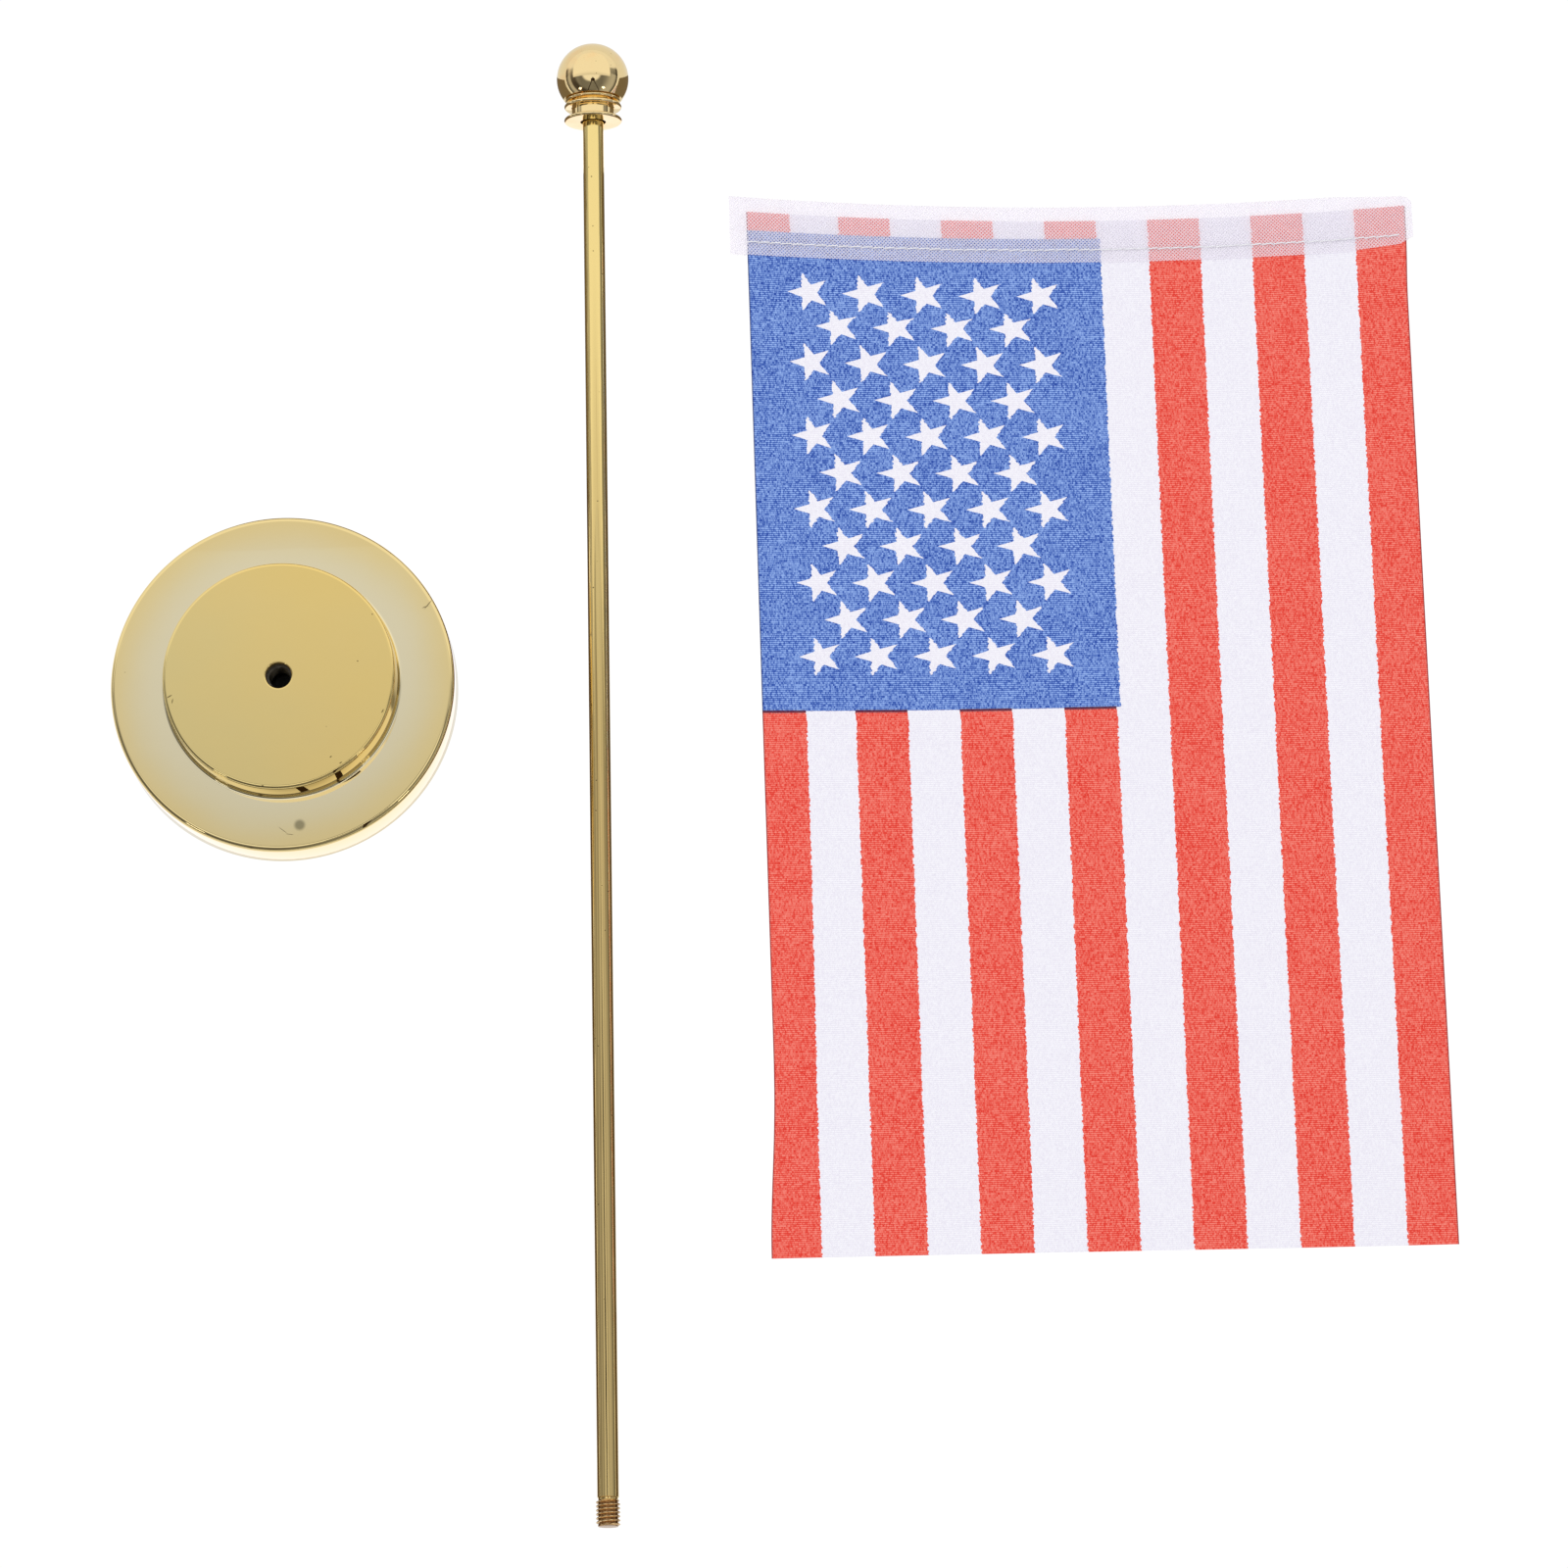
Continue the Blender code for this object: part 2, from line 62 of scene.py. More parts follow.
BALL_DIAMETER = 14.8 * MM
FLANGE_DIAMETER = 11.9 * MM
FLANGE_THICKNESS = 0.75 * MM
FLANGE_TO_BALL_CENTRE = 9.35 * MM
MIDDLE_RING_DIAMETER = 11.8 * MM
MIDDLE_RING_OFFSET = 3.3 * MM
UPPER_RING_DIAMETER = 11.3 * MM
UPPER_RING_OFFSET = 4.6 * MM
RING_THICKNESS = 0.75 * MM
NECK_DIAMETER = 8.8 * MM
FINIAL_MOUTH_DIAMETER = 5.2 * MM
ROD_IN_FINIAL = 7.9 * MM
INSERT_POCKET_DIAMETER = 6.8 * MM
INSERT_POCKET_LOW = 1.1 * MM  # from the flange's face
INSERT_POCKET_HIGH = 7.9 * MM

FABRIC_WIDTH = 136.0 * MM
FABRIC_LENGTH = 214.8 * MM
FABRIC_THICKNESS = 0.3 * MM
TAPE_LENGTH = 140.3 * MM
TAPE_FOLDED_WIDTH = 12.0 * MM
TAPE_THICKNESS = 0.2 * MM
TAPE_PAST_FABRIC = 3.0 * MM
STITCH_FROM_TAPE_EDGE = 2.7 * MM
STITCH_DIAMETER = 0.2 * MM
NEEDLE_THREAD_DIAMETER = 0.3 * MM
LAYER_GAP = 0.1 * MM
FABRIC_RAMP = 14.0 * MM
FLY_EDGE_CENTRE = (165.4 * MM, -119.1 * MM)
FLAG_LEAN = -3.7 / 211.8
HOIST_BOW = 3.0 * MM
HOIST_SLOPE = 0.0253

SLEEVE_FOLD = FABRIC_LENGTH + TAPE_PAST_FABRIC
SLEEVE_EDGE = SLEEVE_FOLD - TAPE_FOLDED_WIDTH
STITCH_LINE = SLEEVE_EDGE + STITCH_FROM_TAPE_EDGE
LOWER_LEAF_BOTTOM = STITCH_DIAMETER + LAYER_GAP
FABRIC_IN_SLEEVE = LOWER_LEAF_BOTTOM + TAPE_THICKNESS + LAYER_GAP + FABRIC_THICKNESS / 2
UPPER_LEAF_TOP = FABRIC_IN_SLEEVE + FABRIC_THICKNESS / 2 + LAYER_GAP + TAPE_THICKNESS

# ---- The flag's print, in millimetres on the cloth -----------------------
STRIPE_PITCH = 10.59
STRIPES_LEFT = -68.8
CANTON_RIGHT = 6.0
CANTON_BOTTOM = 111.6
CANTON_TOP = 211.0
STAR_ROW_PITCH = 7.67
STAR_COLUMN_PITCH = 11.93
FIRST_STAR = (-54.6, 199.5)
STAR_RADIUS = 4.8
STAR_ROWS = 11
STARS_IN_LONG_ROW = 5
STAR_SQUEEZE = 1.09  # a star is this much shorter along the flag than across it
RIB_PITCH = 0.42
TAPE_MESH_PITCH = 0.73

# ---- Looks ---------------------------------------------------------------
CAMERA_PLACE = Vector((0.1797, -0.4063, 1.5377))
CAMERA_TARGET = Vector((0.1010, -0.0216, 0.0))
CAMERA_UP = Vector((0.0150, 0.9999, 0.0))
LENS_MM = 180.0
SENSOR_MM = 36.0

TABLE_HALF_WIDTH = 3.0
TABLE_DROP = 0.3 * MM  # below the foot pad, so that the two faces don't meet
TABLE_GLOW = 1.04
TABLE_GLOW_IN_METAL = 0.82
CEILING_HEIGHT = 0.28
CEILING_FRONT = 0.105
CEILING_SOFT_EDGE = 0.07
DARK_CAMERA_PLACE = (0.150, -0.215, 1.0)
WARM_WHITE = (1.0, 0.985, 0.955, 1.0)

SHARP_ANGLE = math.radians(35)
SEED = 7


# ---- Shader graphs -------------------------------------------------------
class Graph:
    """A short way to write shader nodes: each method adds a node and returns its output."""

    def __init__(self, tree):
        self.tree = tree

    def put(self, socket, value):
        if isinstance(value, bpy.types.NodeSocket):
            self.tree.links.new(value, socket)
        else:
            socket.default_value = value

    def node(self, kind, **values):
        node = self.tree.nodes.new(kind)
        for name, value in values.items():
            self.put(node.inputs[name.replace("_", " ")], value)
        return node

    def math(self, operation, first, second=0.0, third=0.0):
        node = self.tree.nodes.new("ShaderNodeMath")
        node.operation = operation
        for socket, value in zip(node.inputs, (first, second, third)):
            self.put(socket, value)
        return node.outputs[0]

    def add(self, first, second):
        return self.math("ADD", first, second)

    def less(self, first, second):
        return self.math("LESS_THAN", first, second)

    def times(self, first, second):
        return self.math("MULTIPLY", first, second)

    def vector(self, x, y, z=0.0):
        return self.node("ShaderNodeCombineXYZ", X=x, Y=y, Z=z).outputs[0]

    def parts(self, vector):
        return self.node("ShaderNodeSeparateXYZ", Vector=vector).outputs

    def between(self, value, low, high, start=0.0, end=1.0):
        """Rises smoothly from start to end as value goes from low to high."""
        node = self.tree.nodes.new("ShaderNodeMapRange")
        node.interpolation_type = "SMOOTHSTEP"
        for socket, part in zip(node.inputs, (value, low, high, start, end)):
            self.put(socket, part)
        return node.outputs[0]

    def noise(self, vector, scale, detail=2.0, roughness=0.5):
        node = self.node("ShaderNodeTexNoise", Vector=vector, Scale=scale, Detail=detail, Roughness=roughness)
        return node.outputs["Fac"]

    def random(self, value):
        node = self.tree.nodes.new("ShaderNodeTexWhiteNoise")
        node.noise_dimensions = "1D"
        self.put(node.inputs["W"], value)
        return node.outputs["Value"]

    def length(self, x, y):
        return self.math("SQRT", self.add(self.times(x, x), self.times(y, y)))

    def mix(self, factor, first, second):
        node = self.tree.nodes.new("ShaderNodeMix")
        node.data_type = "RGBA"
        self.put(node.inputs[0], factor)
        self.put(node.inputs[6], first)
        self.put(node.inputs[7], second)
        return node.outputs[2]

    def ramp(self, factor, *stops):
        """Colours along factor, from (place, colour) pairs."""
        node = self.node("ShaderNodeValToRGB", Fac=factor)
        elements = node.color_ramp.elements
        while len(elements) < len(stops):
            elements.new(0.5)
        for element, (place, colour) in zip(elements, stops):
            element.position = place
            element.color = colour
        return node.outputs["Color"]

    def greys(self, factor, *stops):
        """Greys along factor, from (place, value) pairs."""
        return self.ramp(factor, *[(place, grey(value)) for place, value in stops])

    def bump(self, height, distance, strength=1.0):
        node = self.node("ShaderNodeBump", Height=height, Distance=distance, Strength=strength)
        return node.outputs["Normal"]


def colour(red, green, blue):
    """A display colour, each part from 0 to 255, as a linear shader colour."""

    def linear(part):
        part /= 255
        return part / 12.92 if part <= 0.04045 else ((part + 0.055) / 1.055) ** 2.4

    return (linear(red), linear(green), linear(blue), 1.0)


def grey(value):
    return (value, value, value, 1.0)


def new_material(name):
    """A material with an empty Principled shader: returns it, its graph and the shader's inputs."""
    material = bpy.data.materials.new(name)
    material.use_nodes = True
    shader = material.node_tree.nodes["Principled BSDF"]
    return material, Graph(material.node_tree), shader.inputs


def object_place(graph):
    return graph.tree.nodes.new("ShaderNodeTexCoord").outputs["Object"]


def millimetres(graph):
    """The place on the piece in millimetres, as a vector."""
    node = graph.node("ShaderNodeVectorMath", Vector=object_place(graph))
    node.operation = "SCALE"
    node.inputs["Scale"].default_value = 1 / MM
    return node.outputs[0]


# ---- Metal ---------------------------------------------------------------
def mark(graph, x, y, centre, size, turn=0.0):
    """1 at an oval mark's centre, 0 past its edge: size is its two half lengths, turned by degrees."""
    c = math.cos(math.radians(turn))
    s = math.sin(math.radians(turn))
    dx = graph.add(x, -centre[0])
    dy = graph.add(y, -centre[1])
    long = graph.math("MULTIPLY_ADD", dx, c / size[0], graph.times(dy, s / size[0]))
    wide = graph.math("MULTIPLY_ADD", dx, -s / size[1], graph.times(dy, c / size[1]))
    return graph.between(graph.length(long, wide), 0.4, 1.0, 1.0, 0.0)


def most(graph, values):
    """The largest of several values."""
    result = values[0]
    for value in values[1:]:
        result = graph.math("MAXIMUM", result, value)
    return result


def pinholes(graph, place, spacing, size):
    """Tiny pits scattered about spacing millimetres apart: 1 inside a pit."""
    cells = graph.node("ShaderNodeTexVoronoi", Vector=place, Scale=1 / spacing)
    return graph.between(cells.outputs["Distance"], size * 0.4, size, 1.0, 0.0)


def base_plating():
    """Gold plating on a moulding, paler beside the upper tier, with a few scratches and pits."""
    material, graph, shader = new_material("base_plating")
    place = millimetres(graph)
    x, y, z = graph.parts(place)
    cloud = graph.noise(place, 0.03, 3.0)
    across_top = graph.add(x, graph.times(y, 0.7))
    slope = graph.math("MULTIPLY_ADD", across_top, 0.011, graph.times(cloud, 0.9))
    top = graph.ramp(
        slope,
        (0.10, (0.85, 0.685, 0.30, 1.0)),
        (0.50, (0.90, 0.69, 0.275, 1.0)),
        (0.80, (0.92, 0.69, 0.25, 1.0)),
    )
    away = graph.add(graph.length(x, y), graph.times(graph.add(cloud, -0.5), 6.0))
    tier = graph.ramp(
        graph.between(away, 24.0, 36.0),
        (0.0, (0.88, 0.79, 0.54, 1.0)),
        (0.45, (0.88, 0.76, 0.46, 1.0)),
        (1.0, (0.90, 0.72, 0.34, 1.0)),
    )
    on_top = graph.between(z, LOWER_TIER_TOP / MM + 0.04, LOWER_TIER_TOP / MM + 0.2)
    metal = graph.mix(on_top, tier, top)
    scratches = most(
        graph,
        [
            mark(graph, x, y, (29.8, 15.6), (1.6, 0.13), 52),
            mark(graph, x, y, (29.2, 15.1), (0.9, 0.11), 20),
            mark(graph, x, y, (30.5, 17.3), (0.5, 0.12), 110),
            mark(graph, x, y, (0.2, -30.7), (1.5, 0.08), -38),
            mark(graph, x, y, (1.6, -31.6), (1.0, 0.07), -8),
            mark(graph, x, y, (-22.1, -3.8), (0.8, 0.17), 30),
            mark(graph, x, y, (-21.5, -4.8), (0.7, 0.15), 80),
            mark(graph, x, y, (21.1, -8.1), (0.6, 0.17), 60),
            mark(graph, x, y, (10.6, -17.3), (0.35, 0.17), 40),
            mark(graph, x, y, (12.6, -18.6), (0.45, 0.15), 30),
            mark(graph, x, y, (-3.2, -22.9), (0.35, 0.22), 0),
            pinholes(graph, place, 9.0, 0.022),
        ],
    )
    smudge = mark(graph, x, y, (3.6, -29.7), (1.5, 1.5))
    worn = graph.mix(graph.times(scratches, 0.75), metal, colour(60, 45, 20))
    worn = graph.mix(graph.times(smudge, 0.62), worn, colour(92, 90, 66))
    graph.put(shader["Base Color"], worn)
    graph.put(shader["Roughness"], graph.between(graph.noise(place, 0.25, 4.0), 0.3, 0.8, 0.012, 0.03))
    relief = graph.add(graph.noise(place, 0.10, 2.0), graph.times(scratches, -0.5))
    graph.put(shader["Normal"], graph.bump(relief, 0.012 * MM, 0.4))
    shader["Metallic"].default_value = 1.0
    return material


def finial_plating():
    """Mirror gold plating with a few dust pits and a faint orange bloom on the ball."""
    material, graph, shader = new_material("finial_plating")
    place = millimetres(graph)
    bloom = graph.between(graph.noise(place, 0.25, 3.0), 0.5, 0.75)
    metal = graph.mix(bloom, (0.92, 0.725, 0.38, 1.0), (0.95, 0.67, 0.33, 1.0))
    pits = pinholes(graph, place, 2.2, 0.07)
    graph.put(shader["Base Color"], graph.mix(graph.times(pits, 0.6), metal, colour(80, 55, 30)))
    graph.put(shader["Roughness"], graph.between(graph.noise(place, 0.8, 4.0), 0.3, 0.8, 0.03, 0.09))
    relief = graph.add(graph.noise(place, 0.35, 2.0), graph.times(pits, -0.4))
    graph.put(shader["Normal"], graph.bump(relief, 0.02 * MM, 0.35))
    shader["Metallic"].default_value = 1.0
    return material


def rod_brass():
    """Drawn and lacquered brass: fine lengthwise lines, pits, and a coppery bare thread at the foot, with
    painted shade in the thread's roots.
    """
    material, graph, shader = new_material("rod_brass")
    place = millimetres(graph)
    x, y, z = graph.parts(place)
    around = graph.math("ARCTAN2", y, x)
    drawn = graph.noise(graph.vector(graph.times(around, 6.0), graph.times(z, 0.01)), 1.0, 3.0, 0.6)
    fine = graph.noise(graph.vector(graph.times(around, 22.0), graph.times(z, 0.05)), 1.0, 2.0, 0.6)
    pits = pinholes(graph, place, 2.2, 0.10)
    along = graph.ramp(
        graph.between(z, 20.0, 290.0),
        (0.0, (0.88, 0.66, 0.28, 1.0)),
        (0.45, (0.90, 0.66, 0.27, 1.0)),
        (1.0, (0.92, 0.73, 0.30, 1.0)),
    )
    lined = graph.mix(graph.between(drawn, 0.58, 0.72, 0.0, 0.55), along, colour(150, 105, 50))
    lined = graph.mix(graph.times(pits, 0.7), lined, colour(70, 50, 25))
    foot_thread = graph.less(z, FOOT_THREAD_LENGTH / MM - 0.1)
    head_thread = graph.less((ROD_LENGTH - HEAD_THREAD_LENGTH) / MM, z)
    thread = graph.math("MAXIMUM", foot_thread, head_thread)
    bare = graph.mix(graph.noise(place, 1.5, 3.0), (0.95, 0.72, 0.38, 1.0), (0.80, 0.54, 0.28, 1.0))
    thread_radius = THREAD_DIAMETER / MM / 2
    # Painted shade: the bare thread is coloured darker towards its roots and lighter on its crests.
    lit_crest = graph.between(graph.length(x, y), thread_radius - 0.34, thread_radius - 0.08)
    bare = graph.mix(lit_crest, (0.46, 0.27, 0.12, 1.0), bare)
    graph.put(shader["Base Color"], graph.mix(thread, lined, bare))
    graph.put(shader["Roughness"], graph.math("MULTIPLY_ADD", thread, 0.14, graph.times(fine, 0.10)))
    relief = graph.add(drawn, graph.math("MULTIPLY_ADD", fine, 0.5, graph.times(pits, -1.2)))
    graph.put(shader["Normal"], graph.bump(relief, 0.015 * MM, 0.6))
    shader["Metallic"].default_value = 1.0
    return material


def insert_brass():
    """Turned brass, with fine tool rings."""
    material, graph, shader = new_material("insert_brass")
    place = millimetres(graph)
    rings = graph.noise(graph.vector(0.0, graph.parts(place)[1]), 9.0, 2.0)
    graph.put(shader["Base Color"], graph.mix(rings, (0.70, 0.50, 0.22, 1.0), (0.50, 0.35, 0.15, 1.0)))
    graph.put(shader["Roughness"], graph.between(rings, 0.3, 0.7, 0.25, 0.42))
    graph.put(shader["Normal"], graph.bump(rings, 0.01 * MM))
    shader["Metallic"].default_value = 1.0
    return material


def black_oxide():
    """Black-finished steel of the nut, with bare wear on its thread."""
    material, graph, shader = new_material("black_oxide")
    place = millimetres(graph)
    wear = graph.between(graph.noise(place, 1.2, 4.0), 0.55, 0.8)
    graph.put(shader["Base Color"], graph.mix(wear, (0.10, 0.094, 0.085, 1.0), (0.26, 0.24, 0.22, 1.0)))
    graph.put(shader["Roughness"], graph.between(wear, 0.0, 1.0, 0.5, 0.35))
    graph.put(shader["Normal"], graph.bump(graph.noise(place, 6.0, 3.0), 0.01 * MM, 0.5))
    shader["Metallic"].default_value = 1.0
    return material


def cast_iron():
    """Raw cast ballast: a grainy grey skin with spots of rust."""
    material, graph, shader = new_material("cast_iron")
    place = millimetres(graph)
    grain = graph.noise(place, 2.5, 5.0, 0.65)
    rust = graph.between(graph.noise(place, 0.25, 4.0), 0.56, 0.72)
    skin = graph.mix(grain, (0.16, 0.155, 0.15, 1.0), (0.34, 0.33, 0.32, 1.0))
    graph.put(shader["Base Color"], graph.mix(graph.times(rust, 0.7), skin, colour(120, 62, 30)))
    graph.put(shader["Metallic"], graph.between(rust, 0.0, 1.0, 0.9, 0.1))
    graph.put(shader["Roughness"], graph.between(grain, 0.3, 0.7, 0.5, 0.8))
    graph.put(shader["Normal"], graph.bump(grain, 0.15 * MM, 0.6))
    return material


def moulded_black(name, spark_scale):
    """Black plastic with the fine spark-eroded texture of its mould."""
    material, graph, shader = new_material(name)
    place = millimetres(graph)
    texture = graph.noise(place, spark_scale, 3.0, 0.6)
    flow = graph.noise(place, 0.12, 2.0)
    graph.put(shader["Base Color"], graph.mix(flow, (0.016, 0.015, 0.014, 1.0), (0.030, 0.029, 0.027, 1.0)))
    graph.put(shader["Roughness"], graph.between(texture, 0.3, 0.7, 0.42, 0.62))
    graph.put(shader["Normal"], graph.bump(texture, 0.03 * MM, 0.5))
    return material


def foam():
    """The pad's fine-celled foam."""
    material, graph, shader = new_material("foot_foam")
    place = millimetres(graph)
    cells = graph.node("ShaderNodeTexVoronoi", Vector=place, Scale=2.4).outputs["Distance"]
    graph.put(shader["Base Color"], graph.mix(cells, (0.035, 0.034, 0.033, 1.0), (0.012, 0.012, 0.012, 1.0)))
    graph.put(shader["Roughness"], graph.between(cells, 0.0, 0.6, 0.85, 1.0))
    graph.put(shader["Normal"], graph.bump(cells, 0.12 * MM, 0.8))
    return material


# ---- Cloth ---------------------------------------------------------------
def cloth_place(graph):
    """Across and along the flag, and the way to its nearer side edge, as its meshes carry them."""
    node = graph.tree.nodes.new("ShaderNodeAttribute")
    node.attribute_name = "flag_place"
    return graph.parts(node.outputs["Vector"])


def stars(graph, across, along):
    """1 inside the canton's stars: rows of five and four by turns, each star with a tip towards -X."""
    down = graph.math("SUBTRACT", FIRST_STAR[1], along)
    row = graph.math("ROUND", graph.math("DIVIDE", down, STAR_ROW_PITCH))
    odd = graph.math("FLOORED_MODULO", row, 2.0)
    from_first = graph.add(across, -FIRST_STAR[0])
    from_first = graph.math("SUBTRACT", from_first, graph.times(odd, STAR_COLUMN_PITCH / 2))
    column = graph.math("ROUND", graph.math("DIVIDE", from_first, STAR_COLUMN_PITCH))
    dx = graph.math("SUBTRACT", graph.times(column, STAR_COLUMN_PITCH), from_first)
    dy = graph.math("MULTIPLY_ADD", row, STAR_ROW_PITCH, graph.add(along, -FIRST_STAR[1]))
    dy = graph.times(dy, STAR_SQUEEZE)
    fifth = math.tau / 5
    turn = graph.math("PINGPONG", graph.math("ARCTAN2", dy, dx), fifth / 2)
    reach = graph.times(graph.length(dx, dy), graph.math("COSINE", graph.math("SUBTRACT", fifth, turn)))
    inside = graph.less(reach, STAR_RADIUS * math.cos(fifth))
    rows = graph.times(graph.less(-0.5, row), graph.less(row, STAR_ROWS - 0.5))
    past_last = graph.math("SUBTRACT", STARS_IN_LONG_ROW - 0.5, odd)
    columns = graph.times(graph.less(-0.5, column), graph.less(column, past_last))
    return graph.times(inside, graph.times(rows, columns))


def ink(graph, thread, dark, middle, light):
    """A printed colour that gets lighter with the thread value: the yarn's own uneven tone, and a painted
    highlight where the cloth's threads stand up.
    """
    return graph.ramp(thread, (0.0, colour(*dark)), (0.45, colour(*middle)), (1.0, colour(*light)))


def uneven_edge(graph, across, along, rib_number, crossed):
    """Across, shifted a little from rib to rib like bled dye, and pulled in at the left."""
    bleed = graph.times(graph.add(graph.random(rib_number), -0.5), 0.34)
    grain = graph.times(graph.add(crossed, -0.5), 0.3)
    at_left = graph.between(across, -62.0, -48.0, 1.0, 0.0)
    pull = graph.times(at_left, graph.between(along, 10.0, 95.0, 0.0, -0.75))
    return graph.add(graph.add(across, pull), graph.add(bleed, grain))


def printed_cloth():
    """Ribbed polyester with stripes, canton and stars printed through from the other side."""
    material, graph, shader = new_material("printed_cloth")
    across, along, inward = cloth_place(graph)
    rib = graph.math("DIVIDE", along, RIB_PITCH)
    rib_number = graph.math("FLOOR", rib)
    lit_crest = graph.math("SINE", graph.times(graph.math("FRACT", rib), math.pi))
    dash_place = graph.vector(graph.times(across, 2.2), graph.times(rib_number, 3.7))
    dashes = graph.noise(dash_place, 1.0, 3.0, 0.7)
    cross_place = graph.vector(graph.times(across, 3.2), graph.times(along, 3.2))
    crossed = graph.noise(cross_place, 1.0, 2.0, 0.6)
    clouds = graph.noise(graph.vector(across, along), 0.09, 3.0, 0.55)

    edge = uneven_edge(graph, across, along, rib_number, crossed)
    lift = graph.add(along, graph.times(graph.add(graph.noise(cross_place, 2.0), -0.5), 0.3))
    stripe = graph.math("FLOOR", graph.math("DIVIDE", graph.add(edge, -STRIPES_LEFT), STRIPE_PITCH))
    is_red = graph.less(graph.math("FLOORED_MODULO", stripe, 2.0), 0.5)
    beside_canton = graph.less(edge, CANTON_RIGHT)
    in_height = graph.times(graph.less(CANTON_BOTTOM, lift), graph.less(lift, CANTON_TOP))
    in_canton = graph.times(beside_canton, in_height)
    star = stars(graph, edge, graph.add(along, graph.between(along, 191.0, 197.0, 0.0, 0.8)))

    # The rib crests and raised dashes are made lighter: a painted highlight on the ribs, added to the yarn's
    # uneven tone.
    thread = graph.add(graph.times(dashes, 1.1), graph.times(lit_crest, 0.26))
    thread = graph.add(thread, graph.math("MULTIPLY_ADD", crossed, 0.20, graph.times(clouds, 0.10)))
    thread = graph.between(thread, 0.66, 1.04)
    red = ink(graph, thread, (224, 50, 38), (239, 78, 62), (250, 136, 120))
    blue = ink(graph, thread, (26, 62, 158), (72, 112, 196), (150, 182, 240))
    white = ink(graph, thread, (236, 233, 243), (242, 239, 248), (249, 248, 253))
    cloth = graph.mix(is_red, white, red)
    cloth = graph.mix(in_canton, cloth, graph.mix(star, blue, white))

    under_canton = graph.math("ABSOLUTE", graph.add(lift, 0.1 - CANTON_BOTTOM))
    overlap = graph.times(graph.times(is_red, graph.less(under_canton, 0.30)), beside_canton)
    cloth = graph.mix(graph.times(overlap, 0.85), cloth, colour(62, 24, 60))
    # Darker colour along the left and right cut edges, where the cloth is printed.
    cut_edge = graph.between(inward, 0.05, 0.40, 1.0, 0.0)
    inked = graph.math("MAXIMUM", is_red, in_canton)
    dark_edge_colour = graph.mix(in_canton, colour(120, 24, 32), colour(30, 36, 90))
    cloth = graph.mix(graph.times(graph.times(cut_edge, inked), 0.8), cloth, dark_edge_colour)

    graph.put(shader["Base Color"], cloth)
    graph.put(shader["Roughness"], graph.between(thread, 0.3, 0.9, 0.92, 0.72))
    shader["Sheen Weight"].default_value = 0.12
    shader["Sheen Roughness"].default_value = 0.4
    shader["Specular IOR Level"].default_value = 0.3
    relief = graph.add(lit_crest, graph.times(dashes, 0.8))
    graph.put(shader["Normal"], graph.bump(relief, 0.05 * MM, 0.55))
    return material


def sheer_tape():
    """Sheer white mesh tape: a fine diamond lattice of threads with open dots between them."""
    material, graph, shader = new_material("sheer_tape")
    across, along, _ = cloth_place(graph)
    right = graph.math("DIVIDE", graph.add(across, along), TAPE_MESH_PITCH)
    left = graph.math("DIVIDE", graph.math("SUBTRACT", across, along), TAPE_MESH_PITCH)
    dx = graph.add(graph.math("FRACT", right), -0.5)
    dy = graph.add(graph.math("FRACT", left), -0.5)
    open_dot = graph.between(graph.length(dx, dy), 0.20, 0.40, 1.0, 0.0)
    cloud = graph.noise(graph.vector(across, along), 0.3, 3.0)
    graph.put(shader["Base Color"], graph.mix(cloud, colour(253, 249, 255), colour(249, 244, 253)))
    graph.put(shader["Roughness"], graph.between(open_dot, 0.0, 1.0, 0.45, 0.8))
    cover = graph.math("MULTIPLY_ADD", open_dot, -0.34, graph.math("MULTIPLY_ADD", cloud, 0.06, 0.37))
    graph.put(shader["Alpha"], cover)
    shader["Sheen Weight"].default_value = 0.2
    shader["Specular IOR Level"].default_value = 0.35
    graph.put(shader["Normal"], graph.bump(graph.times(open_dot, -1.0), 0.05 * MM, 0.6))
    return material


def sewing_thread():
    """White thread of two twisted plies, with painted shade in the grooves between them."""
    material, graph, shader = new_material("sewing_thread")
    place = millimetres(graph)
    x, y, z = graph.parts(place)
    slant = graph.add(graph.times(x, 9.0), graph.math("MULTIPLY_ADD", y, 16.0, graph.times(z, 16.0)))
    ply = graph.math("SINE", slant)
    fuzz = graph.noise(place, 5.0, 3.0)
    white = graph.mix(fuzz, colour(255, 255, 255), colour(238, 237, 244))
    # Painted shade: darker in the groove between the plies.
    painted_ply_shade = graph.between(ply, -1.0, 0.1, 0.35, 0.0)
    graph.put(shader["Base Color"], graph.mix(painted_ply_shade, white, colour(205, 203, 214)))
    graph.put(shader["Roughness"], graph.between(fuzz, 0.3, 0.7, 0.5, 0.75))
    graph.put(shader["Normal"], graph.bump(ply, 0.03 * MM, 0.7))
    return material


# ---- Meshes --------------------------------------------------------------
def new_object(name, data):
    obj = bpy.data.objects.new(name, data)
    bpy.context.scene.collection.objects.link(obj)
    return obj


def new_mesh(name, shape):
    """Turns a finished bmesh into a mesh."""
    mesh = bpy.data.meshes.new(name)
    shape.to_mesh(mesh)
    shape.free()
    return mesh


def flat_piece(name, corners):
    """One face through its corners."""
    shape = bmesh.new()
    shape.faces.new([shape.verts.new(corner) for corner in corners])
    return new_object(name, new_mesh(name, shape))


def arc(centre, radius, start, end, steps):
    """Points (r, z) on a circle, from start to end degrees, counted from +r towards +z."""
    angles = [math.radians(start + (end - start) * i / steps) for i in range(steps + 1)]
    return [(centre[0] + radius * math.cos(a), centre[1] + radius * math.sin(a)) for a in angles]


